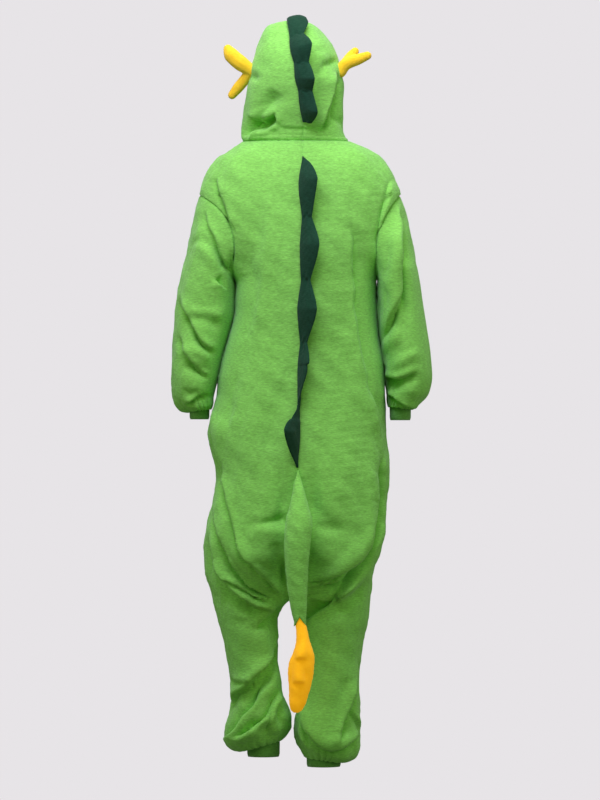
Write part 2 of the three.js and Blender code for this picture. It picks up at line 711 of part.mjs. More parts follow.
function sleeveWall(side) {
  const surface = sleeveSurface(side);
  const points = [];
  const normals = [];
  SLEEVE_ROWS.forEach((ring, i) => {
    const v = ring / SLEEVE[side].last;
    const row = sleeveTurns().map((u) => (i === 0 ? armholeNormal(side, u) : normalOf(surface, u, v)));
    normals.push(row);
    points.push(sleeveTurns().map((u, j) => gathered(surface(u, v), row[j], ring, j)));
  });
  return wallGeometry(points, normals, { closed: true, seams: { top: true } });
}

// Half of the hood: u is 0 at the back seam and 1 at the face edge, v is 0 at the crown and 1 at the neck.
function hoodBase(side) {
  const surface = (u, v) => {
    const z = HOOD.last * (1 - v);
    const row = HOOD(z);
    const turn = (u * row.cover) / 180;
    const angle = Math.PI * turn;
    const reach = Math.sin(angle) ** TRUNK_SQUARE;
    const depth = signedPower(Math.cos(angle), TRUNK_SQUARE);
    const x = row.seam + (row[side] - row.seam) * reach;
    const y = depth > 0 ? row.back * depth : -row.front * depth;
    return new THREE.Vector3(x, y, z - row.drop * smooth(DROP_FROM, 1, turn));
  };
  const onMiddle = (u, v) => u < STEP || (u > 1 - STEP && HOOD(HOOD.last * (1 - v)).cover > 179);
  return Object.assign(surface, { side, closed: false, onMiddle });
}

function hoodSurface(side) {
  return foldedSurface(hoodBase(side), HOOD_FOLDS, (v) => 1 - smooth(1 - CALM_NECK, 1, v));
}

const HOOD_HEIGHTS = [264, 259, 249, 234, 214, 200, 180, 155, 125, 95, 60, 28, 9, 0];

function hoodPanel(side) {
  const surface = hoodSurface(side);
  const body = bodySurface(side);
  const columns = BACK_COLUMNS + FRONT_COLUMNS;
  const points = [];
  const normals = [];
  for (const z of HOOD_HEIGHTS) {
    const v = 1 - z / HOOD.last;
    const row = [];
    const rowNormals = [];
    for (let j = 0; j <= columns; j++) {
      const u = j <= BACK_COLUMNS
        ? (0.5 * j) / BACK_COLUMNS
        : 0.5 + (0.5 * (j - BACK_COLUMNS)) / FRONT_COLUMNS;
      const point = z === 0 ? body(u, 0) : surface(u, v);
      const normal = z === 0 ? neckNormal(side, u) : normalOf(surface, u, v);
      if (z === HOOD.last) normal.set(0, 0, 1);
      row.push(point);
      rowNormals.push(normal);
    }
    points.push(row);
    normals.push(rowNormals);
  }
  const crownShift = SIDES[side] * (SEAM_GAP / 2);
  points[0].forEach((point) => (point.x += crownShift));
  return wallGeometry(points, normals, { seams: { start: true, end: true, top: false, bottom: true } });
}

// A closed body through rings of points, with flat ends.
function loft(rings) {
  const positions = [];
  const add = (...corners) => corners.forEach((p) => positions.push(p.x, p.y, p.z));
  const count = rings[0].length;
  for (let i = 0; i < rings.length - 1; i++) {
    for (let j = 0; j < count; j++) {
      const k = (j + 1) % count;
      add(rings[i][j], rings[i + 1][j], rings[i + 1][k]);
      add(rings[i][j], rings[i + 1][k], rings[i][k]);
    }
  }
  const cap = (ring, flip) => {
    const middle = ring.reduce((sum, p) => sum.add(p), new THREE.Vector3()).divideScalar(count);
    for (let j = 0; j < count; j++) {
      const k = (j + 1) % count;
      if (flip) add(middle, ring[k], ring[j]);
      else add(middle, ring[j], ring[k]);
    }
  };
  cap(rings[0], false);
  cap(rings[rings.length - 1], true);
  return facingOut(positions);
}

// The lens of a fin at one station, from its root up to its rounded edge.
const FIN_SECTION = [
  { up: 0, thick: 0.34 },
  { up: 0.28, thick: 1 },
  { up: 0.65, thick: 0.86 },
  { up: 0.97, thick: 0.34 },
];

function finRing(root, outward, height, { lean, curl }) {
  const sideways = new THREE.Vector3(-1, 0, 0);
  const turned = (degrees) => {
    const angle = THREE.MathUtils.degToRad(degrees);
    return outward.clone().multiplyScalar(Math.cos(angle)).addScaledVector(sideways, Math.sin(angle));
  };
  const rootTilt = Math.abs(Math.sin(THREE.MathUtils.degToRad(lean)));
  const lift = SPIKE_CLEAR + 0.5 * FIN_SECTION[0].thick * SPIKE_THICK * rootTilt;
  const thick = Math.min(SPIKE_THICK, 3 + height * 0.22);
  const place = (row, sign) => root.clone()
    .addScaledVector(outward, lift)
    .addScaledVector(turned(lean + (curl * row.up) / 2), height * row.up)
    .addScaledVector(turned(lean + curl * row.up + 90), (sign * thick * row.thick) / 2);
  const oneFace = FIN_SECTION.map((row) => place(row, 1));
  const otherFace = FIN_SECTION.map((row) => place(row, -1)).reverse();
  return [...oneFace, ...otherFace];
}

// How far a spike has risen at a place along it, from 0 at its ends to 1 at its peak.
function spikeRise(within) {
  const share = within < SPIKE_PEAK ? within / SPIKE_PEAK : (1 - within) / (1 - SPIKE_PEAK);
  return Math.sin((Math.PI / 2) * share) ** 1.15;
}

// A fin along a curve, with rounded spikes whose valleys stay joined.
function crest(curve, outwardAt, form, valleys, steps) {
  const stations = (valleys.length - 1) * steps;
  const rings = [];
  for (let i = 0; i <= stations; i++) {
    const spike = Math.min(valleys.length - 2, Math.floor(i / steps));
    const within = i / steps - spike;
    const s = mix(valleys[spike], valleys[spike + 1], within);
    const row = form(s);
    const height = row.valley + (row.tip - row.valley) * spikeRise(within);
    rings.push(finRing(curve.getPointAt(s), outwardAt(s), Math.max(2, height), row));
  }
  return loft(rings);
}

function backCrest() {
  const surface = bodySurface("left");
  const path = [];
  for (let i = 0; i <= BACK_CREST.knots; i++) {
    path.push(surface(0, rowOfHeight(mix(BACK_CREST.top, BACK_CREST.bottom, i / BACK_CREST.knots))));
  }
  const curve = new THREE.CatmullRomCurve3(path);
  return crest(curve, outwardFrom(curve), BACK_CREST_FORM, BACK_SPIKES, BACK_SPIKE_STEPS);
}

// Square to a curve that runs in the middle plane, away from the garment.
function outwardFrom(curve, turn = 1) {
  return (s) => {
    const along = curve.getTangentAt(s);
    return along.cross(new THREE.Vector3(-turn, 0, 0)).normalize();
  };
}

function hoodCrest() {
  const surface = hoodSurface("left");
  const at = (u, z) => surface(u, 1 - z / HOOD.last);
  const path = [];
  for (const z of [HOOD_CREST_START, 70, 100, 130, 160, 190, 215, 236, 252, 262]) path.push(at(0, z));
  path.push(at(0.35, HOOD.last), at(0.65, HOOD.last));
  for (const z of [262, 252, 240, HOOD_CREST_END]) path.push(at(1, z));
  const curve = new THREE.CatmullRomCurve3(path);
  return crest(curve, outwardFrom(curve, -1), HOOD_CREST_FORM, HOOD_SPIKES, HOOD_SPIKE_STEPS);
}

// A stuffed piece from a table of its half width and its two faces, closed by small ends.
function stuffed(form, rows, sides, bulge = () => 0) {
  const rings = [];
  for (let i = 0; i < rows; i++) {
    const share = i / (rows - 1);
    const section = form(form.first + (form.last - form.first) * share);
    const ring = [];
    for (let j = 0; j < sides; j++) {
      const angle = (2 * Math.PI * j) / sides;
      const middle = (section.near + section.far) / 2;
      const x = section.x + section.half * signedPower(Math.cos(angle), 0.9);
      const y = middle + ((section.far - section.near) / 2) * signedPower(Math.sin(angle), 1.15);
      const lifted = Math.sin(angle) > 0 ? bulge(x, section.z) * Math.sin(angle) : 0;
      ring.push(new THREE.Vector3(x, y + lifted, section.z));
    }
    rings.push(ring);
  }
  return loft(rings);
}

// A lobe swells downwards and ends in a round lip.
function lobeHeight(x, z) {
  return TIP_LOBES.reduce((sum, lobe) => {
    const down = (lobe.z + lobe.length - z) / lobe.length;
    if (down <= 0 || down >= 1.12) return sum;
    const across = clamp(1 - ((x - lobe.x) / lobe.half) ** 2, 0, 1);
    const swell = down < 1 ? smooth(0, 0.9, down) : (1.12 - down) / 0.12;
    return sum + lobe.height * swell * across;
  }, 0);
}

// One tapering prong as a tube along a curve, with rounded ends.
function prong(points, radii) {
  const curve = new THREE.CatmullRomCurve3(points);
  const frames = curve.computeFrenetFrames(HORN_STEPS, false);
  const rings = [];
  const ringAt = (centre, i, radius) => {
    const ring = [];
    for (let j = 0; j < HORN_SIDES; j++) {
      const angle = (2 * Math.PI * j) / HORN_SIDES;
      const spoke = frames.normals[i].clone().multiplyScalar(Math.cos(angle) * radius)
        .addScaledVector(frames.binormals[i], Math.sin(angle) * radius);
      ring.push(centre.clone().add(spoke));
    }
    return ring;
  };
  const knots = radii.length - 1;
  for (let i = 0; i <= HORN_STEPS; i++) {
    const s = i / HORN_STEPS;
    const k = Math.min(knots - 1, Math.floor(s * knots));
    const radius = THREE.MathUtils.lerp(radii[k], radii[k + 1], s * knots - k);
    rings.push(ringAt(curve.getPointAt(s), i, radius));
  }
  const end = curve.getPointAt(1);
  const onward = curve.getTangentAt(1);
  const tip = radii[knots];
  rings.push(ringAt(end.clone().addScaledVector(onward, tip * 0.5), HORN_STEPS, tip * 0.8));
  rings.push(ringAt(end.clone().addScaledVector(onward, tip * 0.8), HORN_STEPS, tip * 0.4));
  return loft(rings);
}

function solidOf(geometry) {
  const merged = mergeVertices(geometry, 1e-4);
  return new wasm.Manifold(new wasm.Mesh({
    numProp: 3,
    vertProperties: merged.attributes.position.array,
    triVerts: new Uint32Array(merged.index.array),
  }));
}

function geometryOf(solid) {
  const mesh = solid.getMesh();
  const geometry = new THREE.BufferGeometry();
  geometry.setAttribute("position", new THREE.BufferAttribute(mesh.vertProperties, 3));
  geometry.setIndex(new THREE.BufferAttribute(mesh.triVerts, 1));
  return geometry;
}

function horn(side) {
  const surface = hoodSurface(side);
  const z = HORN_SEAT[side];
  const u = HORN_SEAT.angle / HOOD(z).cover;
  const v = 1 - z / HOOD.last;
  const seat = surface(u, v).addScaledVector(normalOf(surface, u, v), 0.9);
  const solids = PRONGS[side].map(({ reach, radii }) => {
    const points = [seat.clone(), ...reach.map(([x, y, dz]) => new THREE.Vector3(
      seat.x + SIDES[side] * x, seat.y + y, seat.z + dz))];
    return solidOf(prong(points, radii));
  });
  const clearOf = solids[0].add(solids[1]).subtract(hoodFiller(side));
  return geometryOf(clearOf);
}

// The space that the hood's side takes, grown by a seam gap, so that a horn's foot ends on the cloth.
function hoodFiller(side) {
  const surface = hoodSurface(side);
  const rings = [];
  const { from, to, rows, columns, clear } = HORN_FOOT;
  for (let i = 0; i <= rows; i++) {
    const v = 1 - mix(from, to, i / rows) / HOOD.last;
    const ring = [];
    for (let j = 0; j <= columns; j++) {
      const u = j / columns;
      ring.push(surface(u, v).addScaledVector(normalOf(surface, u, v), clear));
    }
    rings.push(ring);
  }
  return solidOf(loft(rings));
}

// A cuff: an oval tube of cloth with the columns of the limb that is gathered round it.
function cuff({ limb, side, top, bottom }) {
  const rings = limb === "leg" ? LEG[side] : SLEEVE[side];
  const { outerX, innerX, back, front } = rings(rings.last);
  const inset = SIDES[side] * CUFF_CLEAR;
  const surface = (u, v) => {
    const z = top + (bottom - top) * v;
    const ring = { outerX: outerX - inset, innerX: innerX + inset, outerZ: z, innerZ: z };
    return ringPoint({ ...ring, back: back - CUFF_CLEAR, front: front + CUFF_CLEAR }, u - Math.floor(u));
  };
  Object.assign(surface, { side, closed: true, onMiddle: () => false });
  const turns = limb === "leg" ? legTurns() : sleeveTurns();
  const points = [0, 1].map((v) => turns.map((u) => surface(u, v)));
  const normals = [0, 1].map((v) => turns.map((u) => normalOf(surface, u, v)));
  return wallGeometry(points, normals, { closed: true });
}

function legTurns() {
  const back = Array.from({ length: BACK_COLUMNS }, (_, j) => (0.5 * j) / BACK_COLUMNS);
  const front = Array.from({ length: FRONT_COLUMNS }, (_, j) => 0.5 + (0.5 * j) / FRONT_COLUMNS);
  return [...back, ...front];
}

function sleeveTurns() {
  return Array.from({ length: 2 * ARMHOLE_STEPS }, (_, j) => j / (2 * ARMHOLE_STEPS));
}

// Points on the front of the trunk at a distance from the front edge, moved out from the cloth.
function frontPoint(offset, z, clear) {
  const side = offset >= 0 ? "left" : "right";
  const surface = bodySurface(side);
  const row = TRUNK(z);
  const reach = Math.abs(offset) / Math.abs(row[side] - row.seam);
  const u = 1 - Math.asin(reach ** (1 / TRUNK_SQUARE)) / Math.PI;
  const point = surface(u, rowOfHeight(z));
  const normal = normalOf(surface, u, rowOfHeight(z));
  if (Math.abs(offset) < 1e-6) normal.setX(0).normalize();
  return { point: point.addScaledVector(normal, clear), normal };
}

function buttonBand() {
  const points = [];
  const normals = [];
  for (const z of bodyRows().map(heightOfRow)) {
    if (z > BAND.top || z < BAND.bottom) continue;
    const places = [-1, 0, 1].map((edge) => frontPoint(BAND.halfWidth * edge, z, BAND.clear + CLOTH));
    points.push(places.map((place) => place.point));
    normals.push(places.map((place) => place.normal));
  }
  return wallGeometry(points, normals, {});
}

function button(index) {
  const z = BUTTONS.first + BUTTONS.step * index;
  const clear = BAND.clear + CLOTH + BUTTONS.clear;
  const { radius, thick, edge, rim, dish } = BUTTON_FORM;
  const half = thick / 2;
  const { point, normal } = frontPoint(0, z, clear + half);
  const profile = [
    [0, -half],
    [radius - edge, -half],
    [radius, edge - half],
    [radius, half - edge],
    [radius - edge, half],
    [radius - rim, half - dish],
    [0, half - dish],
  ].map(([r, y]) => new THREE.Vector2(r, y));
  const geometry = new THREE.LatheGeometry(profile, 12);
  geometry.deleteAttribute("normal");
  geometry.deleteAttribute("uv");
  const turn = new THREE.Quaternion().setFromUnitVectors(new THREE.Vector3(0, 1, 0), normal);
  geometry.applyQuaternion(turn);
  geometry.translate(point.x, point.y, point.z);
  return mergeVertices(geometry, 1e-4);
}

const onesie = new THREE.Group();
for (const side of ["left", "right"]) {
  onesie.add(panelMesh(`back_${side}`, bodyPanel(side, "back"), GREEN));
  onesie.add(panelMesh(`front_${side}`, bodyPanel(side, "front"), GREEN));
  onesie.add(panelMesh(`sleeve_${side}`, sleeveWall(side), GREEN));
  onesie.add(panelMesh(`hood_${side}`, hoodPanel(side), GREEN));
  onesie.add(panelMesh(`horn_${side}`, horn(side), YELLOW));
}
for (const [name, place] of Object.entries(CUFFS)) onesie.add(panelMesh(name, cuff(place), CUFF_GREEN));
onesie.add(panelMesh("hood_crest", hoodCrest(), SPIKE_GREEN));
onesie.add(panelMesh("back_crest", backCrest(), SPIKE_GREEN));
onesie.add(panelMesh("tail", stuffed(TAIL, TAIL_ROWS, TAIL_SIDES), GREEN));
onesie.add(panelMesh("tail_tip", stuffed(TIP, TIP_ROWS, TIP_SIDES, lobeHeight), YELLOW));
onesie.add(panelMesh("button_band", buttonBand(), GREEN));
for (let i = 0; i < BUTTONS.count; i++) onesie.add(panelMesh(`button_${i + 1}`, button(i), BUTTON));

export default onesie;
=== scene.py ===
"""Looks of the dragon onesie: fleece shells, stuffed crests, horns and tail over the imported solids.

Tables are in millimetres, in the garment's frame: +Z up, back at +Y, left side at +X.
"""

import math

import bmesh
import bpy
import numpy as np
from mathutils import Matrix, Vector


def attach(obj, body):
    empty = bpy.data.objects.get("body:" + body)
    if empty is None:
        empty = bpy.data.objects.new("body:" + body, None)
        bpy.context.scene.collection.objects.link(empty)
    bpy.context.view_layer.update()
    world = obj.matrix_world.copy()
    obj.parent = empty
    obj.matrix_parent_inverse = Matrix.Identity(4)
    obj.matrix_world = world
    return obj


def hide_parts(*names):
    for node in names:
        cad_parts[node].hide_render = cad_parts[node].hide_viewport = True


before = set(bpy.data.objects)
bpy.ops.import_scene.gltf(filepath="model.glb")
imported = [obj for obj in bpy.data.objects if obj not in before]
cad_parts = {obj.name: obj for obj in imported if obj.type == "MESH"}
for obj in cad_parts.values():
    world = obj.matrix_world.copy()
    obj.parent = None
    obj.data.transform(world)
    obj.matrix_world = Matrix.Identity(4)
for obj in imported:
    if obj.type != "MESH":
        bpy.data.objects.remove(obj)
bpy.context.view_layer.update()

MM = 0.001
SIDES = {"left": 1, "right": -1}
FLOOR_Z = -1434
PIXEL = 2.2  # mm
PHOTO_CENTRE = (-2, -570)  # x and z in the middle of the photograph

TRUNK_SQUARE = 0.86  # exponent of the sections, squarer than an ellipse below 1
DROP_FROM = 0.5  # the share of a half section from which it sinks towards the front
ARMHOLE_TOP = -118
ARMHOLE_BOTTOM = -290
ARMHOLE_MIDDLE = (ARMHOLE_TOP + ARMHOLE_BOTTOM) / 2
ARMHOLE_HALF = (ARMHOLE_TOP - ARMHOLE_BOTTOM) / 2
ARMHOLE_BITE = {"left": 45, "right": 36}  # degrees of the section
ARMHOLE_BLEND = 2.4  # rings
CROTCH = -1001
BLEND_START = -846  # from here down to the crotch the trunk turns into two legs
LEG_REACH = {"back": 108, "front": -98}


class Sections:
    """A curve through a table's rows, without overshoot, for arrays of the first column's value."""

    def __init__(self, names, rows):
        self.names = names
        self.rows = np.array(rows, float)
        key = self.rows[:, 0]
        slope = np.diff(self.rows, axis=0) / np.diff(key)[:, None]
        before, after = slope[:-1], slope[1:]
        same = before * after > 0
        inner = np.where(same, 2 * before * after / np.where(same, before + after, 1), 0)
        self.tangent = np.vstack([slope[:1], inner, slope[-1:]])
        self.first, self.last = key[0], key[-1]

    def __call__(self, value):
        key = self.rows[:, 0]
        rising = np.sign(key[1] - key[0])
        value = np.asarray(value, float)
        i = np.clip(np.searchsorted(rising * key, rising * value) - 1, 0, len(key) - 2)
        h = key[i + 1] - key[i]
        s = np.clip((value - key[i]) / h, 0, 1)
        found = {}
        for c, name in enumerate(self.names):
            low, high = self.rows[i, c], self.rows[i + 1, c]
            bend = s * (1 - s) * h * ((1 - s) * self.tangent[i, c] - s * self.tangent[i + 1, c])
            found[name] = low + (high - low) * s * s * (3 - 2 * s) + bend
        return found


TRUNK = Sections(["z", "seam", "left", "right", "back", "front", "drop"], [
    [0, -8, 118, -106, 70, -78, 55],
    [-17, -8, 148, -145, 88, -89, 46],
    [-36, -8, 179, -177, 100, -98, 36],
    [-59, -8, 196, -195, 110, -105, 24],
    [-84, -8, 208, -207, 117, -111, 13],
    [ARMHOLE_TOP, -7, 217, -219, 124, -118, 4],
    [-160, -7, 213, -217, 130, -125, 0],
    [-204, -7, 200, -207, 134, -130, 0],
    [-250, -6, 178, -190, 137, -134, 0],
    [ARMHOLE_BOTTOM, -5, 150, -170, 138, -136, 0],
    [-312, -5, 138, -166.5, 138, -136, 0],
    [-366, -4, 136, -167.5, 137, -136, 0],
    [-431, -3, 149, -173, 136, -135, 0],
    [-493, -2, 166, -184, 138, -136, 0],
    [-581, 0, 184, -188, 146, -140, 0],
    [-645, 1, 200, -189, 153, -143, 0],
    [-717, 3, 185, -197, 160, -145, 0],
    [-742, 3, 182, -196, 161, -145, 0],
    [-790, 5, 187, -190, 163, -144, 0],
    [-851, 7, 200, -186, 163, -141, 0],
    [-893, 8, 205, -177, 161, -137, 0],
    [-944, 9, 203, -163, 157, -132, 0],
    [CROTCH, 10, 189, -156, 150, -126, 0],
])

RING_NAMES = ["t", "outer_x", "outer_z", "inner_x", "inner_z", "back", "front"]
LEG = {
    "left": Sections(RING_NAMES, [
        [0, 189, -1001, 10, -1001, 108, -98],
        [1, 184, -1030, 38, -1030, 102, -92],
        [2, 179, -1054, 47, -1054, 98, -88],
        [3, 168, -1090, 48, -1090, 92, -82],
        [4, 157, -1135, 48, -1135, 84, -76],
        [5, 148, -1186, 41, -1183, 80, -72],
        [6, 144, -1221, 38, -1213, 80, -70],
        [7, 152, -1256, 27, -1243, 84, -72],
        [8, 161, -1285, 19, -1268, 88, -74],
        [9, 166, -1310, 20, -1288, 86, -72],
        [10, 163, -1328, 28, -1303, 76, -64],
        [11, 150, -1340, 36, -1314, 64, -54],
        [12, 132, -1343, 41, -1319, 55, -46],
        [13, 117, -1336, 44, -1313, 50, -40],
        [14, 112, -1318, 45, -1304, 48, -38],
    ]),
    "right": Sections(RING_NAMES, [
        [0, -156, -1001, 10, -1001, 108, -98],
        [1, -153, -1030, -6, -1030, 102, -92],
        [2, -150, -1054, -15, -1054, 98, -88],
        [3, -141, -1090, -16, -1090, 92, -83],
        [4, -136, -1130, -15, -1130, 86, -78],
        [5, -132, -1186, -10, -1186, 84, -74],
        [6, -134, -1235, -2, -1235, 86, -74],
        [7, -134, -1275, 8, -1272, 90, -76],
        [8, -134, -1308, 10, -1296, 92, -77],
        [9, -133, -1335, 5, -1322, 88, -74],
        [10, -127, -1353, -3, -1340, 78, -66],
        [11, -113, -1364, -11, -1352, 66, -56],
        [12, -99, -1367, -16, -1357, 57, -48],
        [13, -91, -1358, -18, -1350, 52, -42],
        [14, -89.5, -1340, -19, -1338, 50, -40],
    ]),
}
SLEEVE = {
    "left": Sections(RING_NAMES, [
        [0, 217, -118, 150, -290, 92, -84],
        [1, 226, -152, 149, -297, 92, -84],
        [2, 236, -200, 146, -308, 92, -86],
        [3, 248, -252, 143, -325, 90, -86],
        [4, 259, -306, 143, -349, 88, -86],
        [5, 267, -362, 147, -380, 86, -86],
        [6, 273, -415, 156, -415, 84, -86],
        [7, 278, -465, 169, -455, 82, -86],
        [8, 280, -512, 179, -497, 78, -86],
        [9, 279, -550, 186, -535, 72, -82],
        [10, 272, -578, 190, -563, 62, -74],
        [11, 258, -593, 192, -582, 52, -64],
        [12, 245, -596, 195, -589, 43, -56],
        [13, 240, -588, 199, -584, 36, -48],
        [14, 239, -573, 200, -572, 33, -45],
    ]),
    "right": Sections(RING_NAMES, [
        [0, -219, -118, -170, -290, 92, -84],
        [1, -230, -152, -172, -297, 92, -84],
        [2, -241, -205, -172, -308, 92, -86],
        [3, -253, -262, -170, -325, 90, -86],
        [4, -263, -315, -169.5, -349, 88, -86],
        [5, -272, -368, -171, -380, 86, -86],
        [6, -281, -425, -174.5, -415, 84, -86],
        [7, -287, -475, -180.5, -455, 82, -86],
        [8, -290, -518, -188, -497, 78, -86],
        [9, -284, -553, -193, -535, 72, -82],
        [10, -269, -574, -195, -560, 62, -74],
        [11, -256, -588, -196, -576, 52, -64],
        [12, -249, -590, -198, -584, 43, -56],
        [13, -246, -583, -201, -579, 36, -48],
        [14, -244, -568, -202, -568, 33, -45],
    ]),
}

HOOD = Sections(["z", "seam", "left", "right", "back", "front", "drop", "cover"], [
    [0, -8, 118, -106, 70, -78, 55, 180],
    [9, -8, 126, -100, 72, -86, 52, 158],
    [28, -9, 127, -95, 77, -94, 44, 145],
    [60, -7, 123, -95, 87, -101, 32, 138],
    [96, -1, 117, -96, 96, -107, 20, 135],
    [125, 4, 112, -98, 100, -111, 12, 136],
    [153, 8, 106, -90, 101, -113, 6, 140],
    [180, 13, 99, -84, 97, -112, 2, 147],
    [202, 17, 92, -74, 88, -108, 0, 158],
    [214, 19, 87, -67, 82, -104, 0, 180],
    [232, 21, 80, -53, 69, -92, 0, 180],
    [249, 24, 68, -38, 52, -74, 0, 180],
    [259, 25, 46, -24, 41, -58, 0, 180],
    [264, 26, 26, 26, 32, -44, 0, 180],
])

# Folds, as strokes seen from behind or from the front: from a start to an end point, bowed sideways,
# with the half width on each flank and the height (below 0: a trough).
TRUNK_FOLDS = {
    "back": [
        [165, -737, 33, -996, -40, 30, 26, 12],
        [165, -870, 37, -1008, -26, 26, 26, -13],
        [186, -925, 58, -1018, -20, 26, 22, 11],
        [-160, -719, -20, -972, 66, 34, 26, 12],
        [-162, -790, -20, -1004, 56, 22, 22, -12],
        [-168, -800, -18, -1046, 38, 26, 24, 15],
        [-150, -965, -14, -1060, 12, 24, 24, -13],
        [81, -207, 101, -427, 5, 28, 40, 7],
        [114, -225, 130, -450, 0, 30, 30, -8],
        [37, -526, 75, -680, 0, 42, 42, -6],
        [-117, -300, -185, -680, -8, 34, 34, 8],
        [-136, -330, -160, -560, 0, 30, 30, -7],
        [104, -848, 34, -880, 6, 38, 38, 8],
        [48, -880, 38, -985, 0, 28, 28, -11],
        [2, -735, 34, -860, 0, 34, 34, -6],
        [-12, -735, -92, -860, -14, 34, 34, -7],
        [30, -1018, 104, -1080, 6, 24, 24, -9],
        [46, -1126, 145, -1240, 0, 24, 24, 10],
        [64, -1160, 128, -1240, 4, 24, 24, -9],
        [51, -1168, 160, -1325, 34, 24, 24, 9],
        [114, -1270, 60, -1308, 0, 24, 24, -10],
        [-125, -1180, -92, -1300, 0, 22, 26, 9],
        [-100, -1180, -64, -1310, 4, 26, 24, -9],
        [-9, -1250, -122, -1312, -42, 22, 26, 9],
    ],
    "front": [
        [-165, -700, -26, -985, 74, 34, 30, 12],
        [-160, -790, -26, -1000, 56, 30, 30, -12],
        [180, -700, 30, -985, -74, 34, 30, 12],
        [172, -790, 34, -1000, -56, 30, 30, -12],
        [120, -300, 100, -470, -6, 34, 34, -9],
        [-130, -300, -110, -470, 6, 34, 34, -9],
        [96, -520, 60, -760, -8, 42, 42, -7],
        [-100, -540, -66, -780, 8, 42, 42, -7],
        [-120, -1190, -50, -1310, 8, 26, 26, -9],
        [140, -1190, 60, -1300, -8, 26, 26, -9],
    ],
}
SLEEVE_FOLDS = {
    "left": {
        "back": [
            [146, -296, 236, -215, -14, 22, 18, -9],
            [148, -352, 236, -372, 22, 20, 26, 10],
            [156, -418, 250, -392, -14, 20, 24, -10],
            [186, -520, 262, -500, -12, 18, 22, -9],
            [176, -486, 268, -462, -10, 20, 20, 8],
            [192, -552, 256, -548, 8, 18, 18, -8],
        ],
        "front": [
            [148, -352, 236, -372, 22, 20, 26, 8],
            [160, -430, 250, -404, -14, 20, 24, -9],
            [186, -520, 262, -500, -12, 18, 22, -8],
        ],
    },
    "right": {
        "back": [
            [-221, -150, -216, -400, -10, 16, 22, 11],
            [-236, -190, -238, -420, -4, 20, 24, -10],
            [-214, -405, -178, -462, 8, 20, 22, 9],
            [-262, -510, -188, -548, 6, 18, 22, -10],
            [-200, -505, -272, -470, 8, 20, 20, 8],
        ],
        "front": [
            [-176, -352, -250, -380, -18, 20, 26, 8],
            [-180, -440, -264, -410, 12, 20, 24, -9],
            [-196, -525, -276, -505, 10, 18, 22, -8],
        ],
    },
}
HOOD_FOLDS = {
    "back": [
        [110, 22, 52, 52, 8, 16, 24, -13],
        [116, 8, 44, 24, 14, 12, 14, 8],
        [76, 84, 50, 106, 0, 24, 24, -8],
        [-86, 150, -56, 34, 4, 16, 12, 8],
        [-94, 140, -70, 26, 4, 14, 18, -10],
        [-60, 176, -46, 140, 0, 18, 18, -5],
    ],
    "front": [],
}

